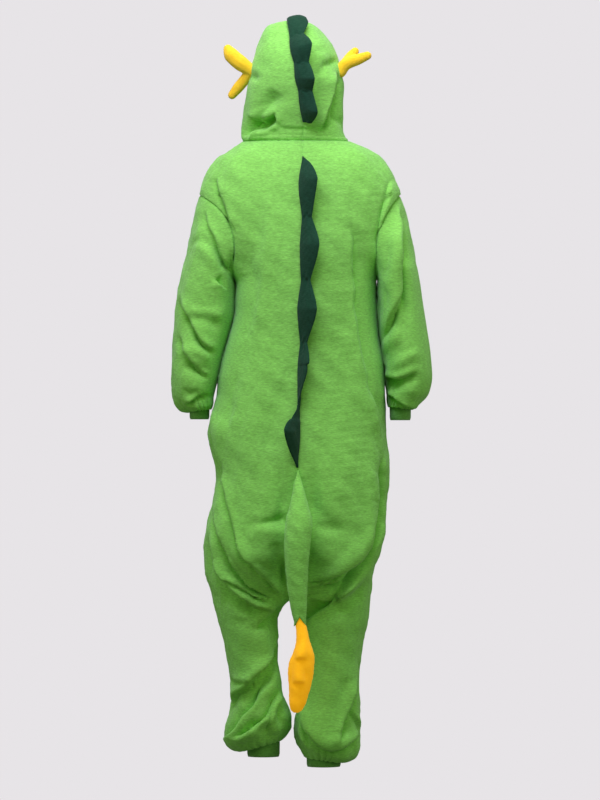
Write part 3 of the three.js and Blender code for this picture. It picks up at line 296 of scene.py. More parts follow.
# Tucks: a path, then how far the cloth stands up on the path's left-hand side as seen from behind and how
# broadly, how far it sinks on the other side and how broadly, and the width of the step between them.
TRUNK_TUCKS = [
    # seat, left
    ([(188, -722), (184, -800), (172, -866), (152, -925), (128, -962), (100, -985), (72, -1001),
      (44, -1006)],
     8, 26, 18, 16, 3),
    ([(166, -700), (160, -760), (150, -812), (140, -850), (124, -900), (104, -926), (76, -950)],
     6, 34, 14, 16, 5),
    ([(200, -850), (192, -900), (176, -945), (150, -978), (120, -1006), (88, -1024), (52, -1036)],
     6, 14, 16, 24, 4),
    ([(168, -962), (150, -968), (124, -984), (94, -1004), (60, -1018)], 5, 10, 11, 7, 3),
    ([(104, -926), (84, -950), (62, -972), (40, -992)], 4, 14, 7, 12, 5),
    # seat, right
    ([(-14, -962), (-50, -958), (-92, -944), (-124, -922), (-146, -890), (-164, -835),
      (-176, -770), (-184, -700)],
     8, 30, 14, 14, 4),
    ([(-10, -985), (-50, -976), (-85, -972), (-112, -952), (-138, -920), (-158, -880),
      (-178, -810), (-186, -720)],
     6, 12, 12, 10, 3),
    ([(-190, -680), (-188, -760), (-180, -840), (-164, -895), (-142, -930), (-112, -968),
      (-78, -1006), (-20, -1052), (30, -1080)],
     9, 24, 22, 20, 4),
    ([(-24, -972), (-40, -964), (-60, -970), (-84, -956)], 4, 6, 6, 7, 3),
    ([(-20, -1008), (-45, -1012), (-70, -1012), (-88, -1004)], 5, 6, 9, 12, 3),
    # left leg
    ([(92, -1078), (84, -1063), (64, -1041), (44, -1023)], 5, 14, 9, 16, 6),
    ([(176, -1276), (150, -1236), (124, -1206), (96, -1178), (70, -1148), (52, -1112), (44, -1060)],
     9, 24, 15, 16, 4),
    ([(44, -1150), (62, -1185), (84, -1216), (110, -1252), (140, -1292), (176, -1330)],
     8, 16, 12, 12, 3.5),
    ([(44, -1206), (54, -1230), (68, -1262), (92, -1286), (122, -1304), (150, -1310)], 8, 16, 14, 14, 4),
    ([(150, -1178), (130, -1188), (100, -1186)], 4, 12, 7, 10, 5),
    ([(58, -1250), (62, -1268), (66, -1300)], 3, 8, 7, 8, 4),
    # right leg
    ([(-84, -1330), (-92, -1290), (-102, -1262), (-114, -1228), (-122, -1190), (-130, -1140)],
     7, 26, 14, 12, 3),
    ([(-112, -1246), (-124, -1270), (-136, -1304)], 5, 8, 7, 9, 3),
    ([(6, -1206), (-2, -1243), (-12, -1275), (-26, -1300), (-44, -1322), (-70, -1336),
      (-101, -1330), (-121, -1312), (-134, -1286)],
     8, 24, 14, 12, 3.5),
    ([(-22, -1340), (-8, -1300), (0, -1250), (4, -1215)], 5, 8, 9, 9, 3),
    # back
    ([(184, -78), (172, -112), (162, -140), (152, -168), (138, -200)], 5, 16, 12, 9, 2.5),
    ([(-205, -80), (-192, -124), (-180, -176), (-168, -238)], 4, 14, 6, 7, 3),
    ([(73, -130), (79, -218), (84, -290), (90, -359), (101, -427)], 3, 34, 6, 30, 26),
    ([(101, -429), (130, -436), (150, -442)], 3, 20, 5, 18, 16),
    ([(123, -508), (141, -561), (150, -634)], 3, 24, 4, 18, 18),
    ([(-187, -680), (-169, -596), (-150, -541), (-132, -451), (-121, -378), (-118, -268), (-114, -163)],
     5, 40, 9, 26, 12),
    ([(187, -581), (189, -636), (176, -706), (161, -779)], 5, 18, 7, 8, 3.5),
]
SLEEVE_TUCKS = {
    "left": [
        ([(207, -147), (191, -200), (169, -253), (143, -301)], 5, 12, 11, 16, 5),
        ([(139, -368), (160, -332), (188, -303)], 7, 16, 14, 20, 3),
        ([(256, -335), (238, -394), (212, -442), (182, -461), (156, -452)], 8, 14, 12, 12, 3.5),
        ([(264, -420), (246, -471), (222, -505), (188, -520)], 7, 12, 12, 12, 3.5),
        ([(254, -580), (225, -566), (186, -549)], 5, 10, 9, 8, 3),
    ],
    "right": [
        ([(-178, -447), (-198, -405), (-219, -360), (-224, -300), (-220, -243), (-218, -125)],
         7, 20, 13, 16, 4),
        ([(-170, -472), (-186, -512), (-218, -523), (-258, -508)], 7, 14, 12, 12, 3.5),
        ([(-188, -545), (-205, -560), (-228, -578), (-262, -592)], 6, 12, 9, 8, 3),
    ],
}
HOOD_TUCKS = [
    ([(57, 62), (53, 48), (53, 36), (64, 26), (79, 18), (99, 20), (109, 8), (116, -4)], 5, 9, 24, 20, 3),
    ([(120, 58), (104, 50), (88, 40), (79, 38), (70, 47), (52, 58)], 4, 10, 8, 10, 6),
    ([(-44, 14), (-50, 32), (-60, 62), (-67, 85), (-76, 118), (-84, 152)], 9, 16, 28, 14, 2),
    ([(-66, 20), (-76, 56), (-90, 116)], 5, 8, 6, 8, 4),
    ([(46, 33), (20, 30), (-10, 27), (-40, 29)], 1.5, 12, 2, 8, 8),
]
# Dents and swellings: middle, half sizes, turn as seen from behind in degrees, and height.
TRUNK_DENTS = [
    (33, -956, 8, 34, 0, -14),  # beside the tail
    (-22, -930, 11, 40, 0, -7),
    (72, -908, 48, 28, 0, 11),  # the seat
    (56, -836, 34, 12, 8, -12),
    (40, -790, 14, 60, 0, -7),
    (-66, -908, 44, 30, 0, 9),
    (-34, -790, 12, 60, 0, -9),
    (-66, -852, 34, 14, -8, -7),
    (-52, -1026, 36, 15, 20, -14),  # between two folds under it
    (110, -1060, 46, 14, -6, -4),
    (46, -1080, 14, 60, -20, -5),
    (44, -1265, 8, 20, 15, -8),
    (48, -416, 24, 176, 0, -3.5),  # the back
    (73, -658, 20, 77, 10, -4),
    (-119, -185, 15, 77, 0, -3.5),
    (134, -75, 22, 35, 20, 3),
    (-57, -350, 22, 132, 0, 3),
]
SLEEVE_DENTS = {
    "left": [
        (143, -268, 8, 24, 0, -12),
        (147, -385, 10, 22, 0, -9),
        (240, -350, 22, 53, 0, 4),
    ],
    "right": [
        (-249, -350, 22, 66, 0, 4),
        (-187, -508, 9, 15, 0, -8),
    ],
}
HOOD_DENTS = [
    (80, 33, 30, 13, -6, -14),  # the hollow above the collar
    (62, 80, 28, 15, 20, -15),
    (68, 60, 30, 7, 35, 6),
    (-72, 172, 18, 9, 35, -9),  # at the temple
    (97, 138, 12, 10, 0, -9),  # under the left horn
    (78, 165, 12, 18, 25, -5),
    (-40, 110, 9, 44, 0, -4),
    (-44, 196, 12, 8, 0, -3),
    (-86, 44, 8, 13, 30, -8),
    (118, 40, 10, 50, 0, -5),  # the shaded strip at the side
]
STROKES_SHARE = 0.8  # how much of the solid's own strokes is left to them where tucks are added
STROKE_WANDER = 3.0  # how far a stroke's path strays
TUCK_WANDER = 1.6
HIDDEN_SHARE = 0.65  # the front has the back's tucks mirrored, weaker and lower down
HIDDEN_MIRROR = 4  # the x of a tuck and of its copy add up to this
HIDDEN_DROP = 14
FOLDED_RINGS = (10.5, 12.5)  # a limb's folds run out between these rings, above the cuff
FULL_TURN = 2 * math.pi


def smooth(low, high, value):
    t = np.clip((value - low) / (high - low), 0, 1)
    return t * t * (3 - 2 * t)


def window(value, rise, fall):
    """1 between two stretches, over which it rises from 0 and falls back to it."""
    return smooth(*rise, value) * (1 - smooth(*fall, value))


def bell(distance, width):
    return np.exp(-((distance / width) ** 2))


def signed_power(value, exponent):
    return np.sign(value) * np.abs(value) ** exponent


def grid(x, y, z):
    return np.stack(np.broadcast_arrays(x, y, z), axis=-1).astype(float)


def ring_points(ring, turn):
    """Points of a sleeve or leg ring: turn 0 is its inner point, a quarter turn its back."""
    angle = FULL_TURN * turn
    inward = (1 + np.cos(angle)) / 2
    depth = np.sin(angle)
    middle = (ring["back"] + ring["front"]) / 2
    y = middle * np.abs(depth) + depth * (ring["back"] - ring["front"]) / 2
    x = ring["outer_x"] + (ring["inner_x"] - ring["outer_x"]) * inward
    z = ring["outer_z"] + (ring["inner_z"] - ring["outer_z"]) * inward
    return grid(x, y, z)


def half_section(row, side, u, z):
    """Half of a section: u is 0 at the back seam, a half at the side, 1 at the front edge."""
    angle = math.pi * u
    depth = signed_power(np.cos(angle), TRUNK_SQUARE)
    x = row["seam"] + (row[side] - row["seam"]) * np.sin(angle) ** TRUNK_SQUARE
    y = np.where(depth > 0, row["back"] * depth, -row["front"] * depth)
    return grid(x, y, z - row["drop"] * smooth(DROP_FROM, 1, u))


def trunk_points(side, u, z):
    return half_section(TRUNK(z), side, u, z)


def hood_points(side, u, z):
    """The hood's surface: u is 1 at the rim of the face opening."""
    row = HOOD(z)
    return half_section(row, side, u * row["cover"] / 180, z)


def body_points(side, u, place):
    """The body's surface. place is a height down to the crotch, and below it the crotch less the ring."""
    z = np.maximum(place, CROTCH)
    trunk = trunk_points(side, np.clip(u, 0, 1), z)
    row = TRUNK(z)
    leg_top = ring_points({"outer_x": row[side], "outer_z": z, "inner_x": row["seam"], "inner_z": z,
                           **LEG_REACH}, u)
    share = np.clip((z - CROTCH) / (BLEND_START - CROTCH), 0, 1)
    trunk_part = np.sqrt(1 - (1 - share) ** 2)[..., None]
    ring = np.clip(CROTCH - place, 0, LEG[side].last)
    leg = ring_points(LEG[side](ring), u)
    return np.where((place >= CROTCH)[..., None], leg_top + (trunk - leg_top) * trunk_part, leg)


def panel_edge(side, place):
    """The u at which a body panel ends: at the side seam, or less where the armhole cuts in."""
    angle = np.arccos(np.clip((place - ARMHOLE_MIDDLE) / ARMHOLE_HALF, -1, 1))
    return (90 - ARMHOLE_BITE[side] * np.sin(angle)) / 180


def sleeve_points(side, turn, ring):
    """The sleeve's surface, whose first rings settle onto the armhole's edge."""
    point = ring_points(SLEEVE[side](ring), turn)
    turn = turn - np.floor(turn)
    z = ARMHOLE_MIDDLE + ARMHOLE_HALF * np.cos(math.pi - FULL_TURN * np.minimum(turn, 1 - turn))
    edge = panel_edge(side, z)
    seam = trunk_points(side, np.where(turn <= 0.5, edge, 1 - edge), z)
    at_seam = ring_points(SLEEVE[side](np.zeros_like(turn)), turn)
    return point + (seam - at_seam) * (1 - smooth(0, ARMHOLE_BLEND, ring)[..., None])


def normals_of(points, side, closed=False):
    """Outward normals of a grid whose rows run down and whose columns run from back to front."""
    if closed:
        wrapped = np.concatenate([points[:, -2:-1], points, points[:, 1:2]], axis=1)
        across = wrapped[:, 2:] - wrapped[:, :-2]
    else:
        across = np.gradient(points, axis=1)
    normal = np.cross(across, np.gradient(points, axis=0)) * SIDES[side]
    return normal / np.maximum(np.linalg.norm(normal, axis=-1, keepdims=True), 1e-9)


def ripple(points, length, seed, stretch=(1, 1, 1), waves=7):
    """Smooth unevenness between about -1 and 1, the same for neighbouring pieces at one place."""
    chance = np.random.default_rng(seed)
    way = chance.normal(size=(waves, 3))
    way /= np.linalg.norm(way, axis=1, keepdims=True)
    pitch = FULL_TURN / (length * chance.uniform(0.7, 1.4, waves))
    phase = chance.uniform(0, FULL_TURN, waves)
    scaled = points / np.array(stretch)
    return np.sin(scaled @ (way * pitch[:, None]).T + phase).sum(axis=-1) / math.sqrt(waves)


def stroke_height(fold, x, z):
    x0, z0, x1, z1, bow, near, far, height = fold
    dx, dz = x1 - x0, z1 - z0
    length = math.hypot(dx, dz)
    along = np.clip(((x - x0) * dx + (z - z0) * dz) / length ** 2, 0, 1)
    across = ((x - x0) * dz - (z - z0) * dx) / length
    offset = across - 4 * bow * along * (1 - along)
    reach = np.abs(offset) / np.where(offset < 0, near, far)
    return height * (1 - smooth(0, 1, reach)) * np.sin(math.pi * along) ** 0.6


def stroke_lift(points, normals, strokes):
    """How far the strokes lift each point, with their paths made a little uneven."""
    x = points[..., 0] + STROKE_WANDER * ripple(points, 60, 11)
    z = points[..., 2] + STROKE_WANDER * ripple(points, 60, 12)
    lift = np.zeros(x.shape)
    for seen, facing in (("back", normals[..., 1]), ("front", -normals[..., 1])):
        show = smooth(0.1, 0.55, facing)
        for fold in strokes[seen]:
            lift += show * stroke_height(fold, x, z)
    return lift


def rounded_path(points, count):
    """A Catmull-Rom curve through the points."""
    p = np.vstack([2 * points[0] - points[1], points, 2 * points[-1] - points[-2]])
    out = []
    for t in np.linspace(0, len(points) - 1, count):
        i = min(int(t), len(points) - 2)
        s = t - i
        a, b, c, d = p[i:i + 4]
        out.append(0.5 * (2 * b + (c - a) * s + (2 * a - 5 * b + 4 * c - d) * s ** 2
                          + (3 * b - a - 3 * c + d) * s ** 3))
    return np.array(out)


def path_offset(line, x, z):
    """Distance from a line, above 0 on its left as seen from behind, and the share of its length reached."""
    step = np.diff(line, axis=0)
    length = np.hypot(step[:, 0], step[:, 1])
    start = np.concatenate([[0], np.cumsum(length)])
    best = np.full(x.shape, np.inf)
    side = np.ones(x.shape)
    share = np.zeros(x.shape)
    for i, (dx, dz) in enumerate(step):
        t = np.clip(((x - line[i, 0]) * dx + (z - line[i, 1]) * dz) / length[i] ** 2, 0, 1)
        off_x, off_z = x - line[i, 0] - t * dx, z - line[i, 1] - t * dz
        distance = np.hypot(off_x, off_z)
        closer = distance < best
        best = np.where(closer, distance, best)
        side = np.where(closer, np.where(off_x * dz - off_z * dx >= 0, 1, -1), side)
        share = np.where(closer, (start[i] + t * length[i]) / start[-1], share)
    return best * side, share


def tuck_height(tuck, x, z):
    path, over, over_reach, under, under_reach, edge = tuck
    line = rounded_path(np.array(path, float), 5 * len(path))
    reach = 2.2 * max(over_reach, under_reach)
    low, high = line.min(axis=0) - reach, line.max(axis=0) + reach
    near = (x > low[0]) & (x < high[0]) & (z > low[1]) & (z < high[1])
    offset, share = path_offset(line, x[near], z[near])
    raised = smooth(-edge / 2, edge / 2, offset)
    up = over * bell(np.maximum(offset, 0), over_reach)
    down = under * bell(np.minimum(offset, 0), under_reach)
    lift = np.zeros(x.shape)
    lift[near] = window(share, (0, 0.2), (0.8, 1)) * (up * raised - down * (1 - raised))
    return lift


def dent_height(dent, x, z):
    middle_x, middle_z, half_x, half_z, turn, height = dent
    turn = math.radians(turn)
    dx, dz = x - middle_x, z - middle_z
    across = (dx * math.cos(turn) - dz * math.sin(turn)) / half_x
    along = (dx * math.sin(turn) + dz * math.cos(turn)) / half_z
    return height * np.exp(-(across ** 2) - along ** 2)


def crease_lift(points, normals, tucks, dents):
    """Tucks and dents on the back, and their weaker copies on the hidden front."""
    x = points[..., 0] + TUCK_WANDER * ripple(points, 55, 14)
    z = points[..., 2] + TUCK_WANDER * ripple(points, 55, 15)
    strength = 1 + 0.16 * ripple(points, 80, 16)
    behind = smooth(-0.05, 0.35, normals[..., 1])
    ahead = HIDDEN_SHARE * smooth(0.05, 0.5, -normals[..., 1])
    lift = np.zeros(x.shape)
    for shape, rows in ((tuck_height, tucks), (dent_height, dents)):
        for row in rows:
            lift += behind * shape(row, x, z) + ahead * shape(row, HIDDEN_MIRROR - x, z + HIDDEN_DROP)
    return lift * strength


UNEVENNESS = [  # height, length, seed and stretch of each size of wave
    (2.2, 95, 31, (1, 1, 2.6)),
    (1.0, 42, 32, (1, 1, 1.6)),
    (0.35, 17, 33, (1, 1, 1)),
]


def cloth_lift(points, normals, folds, loose, creased=1, uneven=1):
    """Strokes, creases and the soft unevenness of hanging fleece, where it hangs loose."""
    strokes, tucks, dents = folds
    waves = sum(height * ripple(points, *wave) for height, *wave in UNEVENNESS)
    lift = STROKES_SHARE * stroke_lift(points, normals, strokes) * loose
    lift += crease_lift(points, normals, tucks, dents) * loose * creased
    return lift + uneven * waves * loose


def lengths_along(points, axis):
    step = np.linalg.norm(np.diff(points, axis=axis), axis=-1)
    start = np.zeros_like(step.take([0], axis=axis))
    return np.concatenate([start, np.cumsum(step, axis=axis)], axis=axis)


def edge_distances(points):
    """How far each point lies from the grid's start and end columns and top and bottom rows."""
    across = lengths_along(points, 1)
    down = lengths_along(points, 0)
    return {"start": across, "end": across[:, -1:] - across, "top": down, "bottom": down[-1:] - down}


SEAM_DEPTH = 2.0
SEAM_WIDTH = 4.0
ARMHOLE_DEPTH = 4.5
ARMHOLE_GROOVE = {"bottom": (-275, -225), "top": (ARMHOLE_TOP, ARMHOLE_TOP + 20)}
PUCKER = 0.8
PUCKER_REACH = 15
PUCKER_PITCH = 17


def seam_dip(points, edges, depth=SEAM_DEPTH):
    """Cloth rolls in at a seam, and puckers beside it."""
    dip = np.zeros(points.shape[:2])
    distance = edge_distances(points)
    for name in edges:
        along = distance["top"] if name in ("start", "end") else distance["start"]
        pucker = np.sin(FULL_TURN * along / PUCKER_PITCH + 3 * ripple(points, 90, 21))
        dip -= depth * bell(distance[name], SEAM_WIDTH)
        dip += PUCKER * pucker * bell(distance[name], PUCKER_REACH) * (1 + ripple(points, 130, 22)) / 2
    return dip


def armhole_groove(z):
    """The armhole's seam lies in a groove, which runs out under the arm."""
    share = window(z, ARMHOLE_GROOVE["bottom"], ARMHOLE_GROOVE["top"])
    return SEAM_DEPTH + (ARMHOLE_DEPTH - SEAM_DEPTH) * share


UNDER_TAIL = {"reach": (24, 44), "bottom": (-1080, -1060), "top": (-735, -705)}
BESIDE_CREST = {"reach": (8, 26), "bottom": (-735, -705)}


def kept_low(lift, points):
    """No fold of the back rises under the tail, or right beside the root of the crest."""
    z = points[..., 2]
    offset = np.abs(points[..., 0] - TRUNK(np.clip(z, CROTCH, 0))["seam"])
    under_tail = 1 - smooth(*UNDER_TAIL["reach"], offset)
    under_tail *= window(z, UNDER_TAIL["bottom"], UNDER_TAIL["top"])
    beside_crest = (1 - smooth(*BESIDE_CREST["reach"], offset)) * smooth(*BESIDE_CREST["bottom"], z)
    return np.where(lift > 0, lift * (1 - np.maximum(under_tail, beside_crest)), lift)


# How far the cloth is lifted where beside_arm smooths it, at these heights.
CONTACT_HEIGHTS = [-560, -520, -450, -415, -380, -349, -315]
BODY_CONTACT = {"left": [0, 5.5, 6, 4.2, 4.2, 4, 0.8], "right": [0, 0.4, 0.4, 0.4, 0.4, 0.4, 1.8]}
SLEEVE_CONTACT = {"left": [0, 4, 4.5, 3, 3, 0.8, 2.2], "right": [0.5, 1.4, 1.4, 0.5, 0.6, 0.8, 2.2]}


BESIDE_ARM = {"bottom": (-590, -550), "top": (-285, -255), "facing": (0.5, 0.85)}


def beside_arm(lift, z, facing, contact):
    """At the height of the arm, cloth isn't creased where facing is near 1."""
    share = window(z, BESIDE_ARM["bottom"], BESIDE_ARM["top"]) * smooth(*BESIDE_ARM["facing"], facing)
    return lift * (1 - share) + np.interp(z, CONTACT_HEIGHTS, contact) * share


def ends_closer(count, ease=0.55):
    """Shares from 0 to 1 that lie closer together at both ends."""
    t = np.linspace(0, 1, count + 1)
    return t - ease * np.sin(FULL_TURN * t) / FULL_TURN


def placed(name, data):
    obj = bpy.data.objects.new(name, data)
    bpy.context.scene.collection.objects.link(obj)
    return obj


def finished(mesh, material):
    mesh.materials.clear()
    mesh.materials.append(material)
    mesh.polygons.foreach_set("use_smooth", [True] * len(mesh.polygons))
    return mesh


def new_object(name, vertices, faces, material):
    mesh = bpy.data.meshes.new(name)
    mesh.from_pydata([tuple(v) for v in vertices], [], faces)
    mesh.validate()
    return placed(name, finished(mesh, material))


def grid_quads(points, closed):
    """The vertex numbers of a grid of points, and the faces between them."""
    rows, columns = points.shape[:2]
    index = np.arange(rows * columns).reshape(rows, columns)
    here = index if closed else index[:, :-1]
    there = np.roll(index, -1, axis=1) if closed else index[:, 1:]
    return index, np.stack([here[:-1], here[1:], there[1:], there[:-1]], axis=-1).reshape(-1, 4)


def shell_object(name, node, surface, lift, side, material, closed=False, thick=2.2):
    """A thin shell from a grid of points and its normals, with its back face and rims."""
    base, normals = surface
    points = base + normals * lift[..., None]
    if closed:
        points = points[:, :-1]
    quads = grid_quads(points, closed)[1]
    if SIDES[side] < 0:
        quads = quads[:, ::-1]
    obj = new_object(name, points.reshape(-1, 3) * MM, quads.tolist(), material)
    wall = obj.modifiers.new("wall", "SOLIDIFY")
    wall.thickness = thick * MM
    wall.offset = -1
    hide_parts(node)
    return obj


BODY_COLUMNS = {"back": 116, "front": 60}
TRUNK_ROW = {"back": 3.4, "front": 6.5}  # mm between rows
LEG_ROWS = {"back": 110, "front": 60}
SLEEVE_GRID = (170, 161)
HOOD_GRID = (96, 120)
GATHERS = {  # the number of pleats round a limb, and each side's phase of their unevenness
    "leg": {"count": 21, "left": 1.0, "right": 2.3},
    "sleeve": {"count": 17, "left": 3.1, "right": 4.4},
}
GATHERED_RINGS = (8.2, 12.0)
GATHER_DEPTH = 4.5
NECK_BAND = {"height": 1.3, "end": (10, 12)}


def gather_lift(turn, ring, limb, side):
    """Pleats that run into a cuff: sharp valleys between round ridges, uneven round the limb."""
    count, seed = GATHERS[limb]["count"], GATHERS[limb][side]
    warp = 0.35 * np.sin(FULL_TURN * turn * 3 + seed) + 0.25 * np.sin(FULL_TURN * turn * 5 + 2 * seed)
    wave = np.abs(np.sin(math.pi * count * turn + warp * 2.2))
    strength = smooth(*GATHERED_RINGS, ring) * (0.75 + 0.25 * np.sin(FULL_TURN * turn * 4 + seed))
    return GATHER_DEPTH * strength * (wave - 1.0)


def body_panel(side, part, material):
    """A back or front panel, from the neck seam down to the ankle."""
    trunk = np.linspace(0, CROTCH, int(-CROTCH / TRUNK_ROW[part]) + 1)
    legs = CROTCH - np.linspace(0, LEG["left"].last, LEG_ROWS[part] + 1)[1:]
    place = np.concatenate([trunk, legs])[:, None]
    reach = panel_edge(side, np.maximum(place, CROTCH)) * ends_closer(BODY_COLUMNS[part])[None, :]
    place = np.broadcast_to(place, reach.shape)
    ring = np.clip(CROTCH - place, 0, None)
    if part == "back":
        u, turned = reach, side
    else:
        u, turned = 1 - reach, "right" if side == "left" else "left"
    base = body_points(side, u, place)
    normals = normals_of(base, turned)
    loose = smooth(0, 30, -place) * (1 - smooth(*FOLDED_RINGS, ring))
    lift = cloth_lift(base, normals, (TRUNK_FOLDS, TRUNK_TUCKS, TRUNK_DENTS), loose)
    if part == "back":
        lift = kept_low(lift, base)
    lift += gather_lift(u, ring, "leg", side)
    outward = normals[..., 0] * np.sign(base[..., 0])
    lift = beside_arm(lift, base[..., 2], outward, BODY_CONTACT[side])
    lift += seam_dip(base, ["start", "top"])
    lift += seam_dip(base, ["end"], armhole_groove(place))
    return shell_object(f"{part}_panel_{side}", f"{part}_{side}", (base, normals), lift, turned, material)


def sleeve_tube(side, material):
    """A sleeve from the armhole to the cuff.

    Both sleeves lie smooth on the side that faces the garment's right: it is the left one's inner side
    and, by an oversight, the right one's outer side.
    """
    rows = ends_closer(SLEEVE_GRID[0], 0.35) * SLEEVE[side].last
    ring, turn = np.meshgrid(rows, np.linspace(0, 1, SLEEVE_GRID[1]), indexing="ij")
    base = sleeve_points(side, turn, ring)
    normals = normals_of(base, side, closed=True)
    loose = window(ring, (0, 1.6), FOLDED_RINGS)
    lift = cloth_lift(base, normals, (SLEEVE_FOLDS[side], SLEEVE_TUCKS[side], SLEEVE_DENTS[side]), loose)
    lift += gather_lift(turn, ring, "sleeve", side)
    lift = beside_arm(lift, base[..., 2], -normals[..., 0], SLEEVE_CONTACT[side])
    lift += seam_dip(base, ["top"], armhole_groove(base[..., 2]))
    surface = (base, normals)
    return shell_object(f"sleeve_shell_{side}", f"sleeve_{side}", surface, lift, side, material, closed=True)


def hood_half(side, material):
    """Half of the hood, whose last row lies on the neck seam."""
    rows = HOOD.last * (1 - ends_closer(HOOD_GRID[0], 0.4))
    z, u = np.meshgrid(rows, ends_closer(HOOD_GRID[1]), indexing="ij")
    base = hood_points(side, u, z)
    base[-1] = trunk_points(side, u[-1], np.zeros(u.shape[1]))
    normals = normals_of(base, side)
    at_back = smooth(-40, 10, base[..., 1])
    lift = cloth_lift(base, normals, (HOOD_FOLDS, HOOD_TUCKS, HOOD_DENTS), smooth(0, 12, z), at_back, 0.7)
    lift += seam_dip(base, ["start", "bottom"])
    lift += NECK_BAND["height"] * (1 - smooth(*NECK_BAND["end"], edge_distances(base)["bottom"]))
    return shell_object(f"hood_shell_{side}", f"hood_{side}", (base, normals), lift, side, material)


CUFF_CLEAR = 0.8
CUFF_GRID = (17, 97)
CUFF_RIBS = 26
CUFFS = {
    "sleeve_cuff_left": {"sections": SLEEVE["left"], "side": "left", "z": (-572, -612)},
    "sleeve_cuff_right": {"sections": SLEEVE["right"], "side": "right", "z": (-568, -614)},
    "ankle_cuff_left": {"sections": LEG["left"], "side": "left", "z": (-1306, -1355)},
    "ankle_cuff_right": {"sections": LEG["right"], "side": "right", "z": (-1338, -1377)},
}


def cuff_band(name, material):
    """A band of doubled fleece with a rolled lower edge and a little strain under the gathers."""
    sections, side, (top, bottom) = CUFFS[name].values()
    ring = sections(np.array(sections.last))
    down, turn = np.meshgrid(*(np.linspace(0, 1, count) for count in CUFF_GRID), indexing="ij")
    ring["outer_z"] = ring["inner_z"] = top + (bottom - top) * down
    base = ring_points(ring, turn)
    ribs = 0.6 * np.sin(FULL_TURN * CUFF_RIBS * turn + 2 * np.sin(FULL_TURN * turn * 3))
    roll = -1.6 * smooth(0.86, 1, down) + 0.8 * smooth(0.1, 0.5, down)
    lift = -CUFF_CLEAR + ribs * (1 - smooth(0.2, 0.9, down)) + roll
    surface = (base, normals_of(base, side, closed=True))
    return shell_object(name + "_band", name, surface, lift, side, material, closed=True, thick=2.4)


# Fins in the centre back seams. Over a fin's length from 0 to 1: the height of a spike, that of a valley,
# the lean to the right and the curl of the top. For each spike: how far its root is pushed to the left, and
# by how many degrees its tip stands up more than its valleys.
SPIKE_THICK = 14
SPIKE_CLEAR = 0.9
SPIKE_PEAK = 0.45
HOOD_CREST_RISE = [41, 70, 100, 130, 160, 190, 215, 236, 252, 262]
HOOD_CREST_FALL = [262, 252, 240, 226]
BACK_CREST = {"top": -38, "bottom": -718, "knots": 24}
CREST_NAMES = ["s", "tip", "valley", "lean", "curl"]
CRESTS = {
    "hood_crest": {
        "valleys": [0, 0.18, 0.328, 0.49, 0.72, 1],
        "bulges": [1, 1, 1, 0, 0],
        "twists": [13, 13, 13, 0, 0],
        "steps": 30,
        "form": Sections(CREST_NAMES, [
            [0, 42, 24, 52, 0],
            [0.1, 46, 34, 54, 0],
            [0.18, 48, 38, 55, 0],
            [0.33, 51, 38, 56, 4],
            [0.49, 50, 34, 60, 14],
            [0.6, 46, 30, 65, 30],
            [0.8, 40, 26, 67, 30],
            [1, 32, 6, 60, 0],
        ]),
    },
    "back_crest": {
        "valleys": [0, 0.2, 0.4, 0.6, 0.8, 1],
        "bulges": [6, 2, 5, 2, 0],
        "twists": [13, 13, 13, 13, 13],
        "steps": 46,
        "form": Sections(CREST_NAMES, [
            [0, 46, 2, 48, 0],
            [0.1, 50, 20, 52, 0],
            [0.2, 50, 26, 54, 0],
            [0.5, 50, 24, 54, 0],
            [0.6, 48, 22, 44, 0],
            [0.68, 46, 20, 28, 0],
            [0.8, 46, 18, -4, 0],
            [0.88, 50, 16, -40, 0],
            [1, 44, 2, -40, 0],
        ]),
    },
}
FIN_SHARE = np.array([0, 0.12, 0.28, 0.45, 0.65, 0.82, 0.93, 0.985, 1.0])  # up a fin's height,
FIN_HALF = np.array([0.30, 0.46, 0.52, 0.50, 0.42, 0.31, 0.19, 0.09, 0.03])  # and half its thickness there
FIN_COLUMNS = 26


def even_path(points, shares):
    """The points of a path at shares of its length."""
    length = lengths_along(points[None], 1)[0]
    return np.stack([np.interp(shares * length[-1], length, points[:, c]) for c in range(3)], axis=1)


def spike_rise(within):
    share = np.where(within < SPIKE_PEAK, within / SPIKE_PEAK, (1 - within) / (1 - SPIKE_PEAK))
    return 0.55 * np.sin(math.pi / 2 * share) ** 1.15 + 0.45 * share ** 1.1


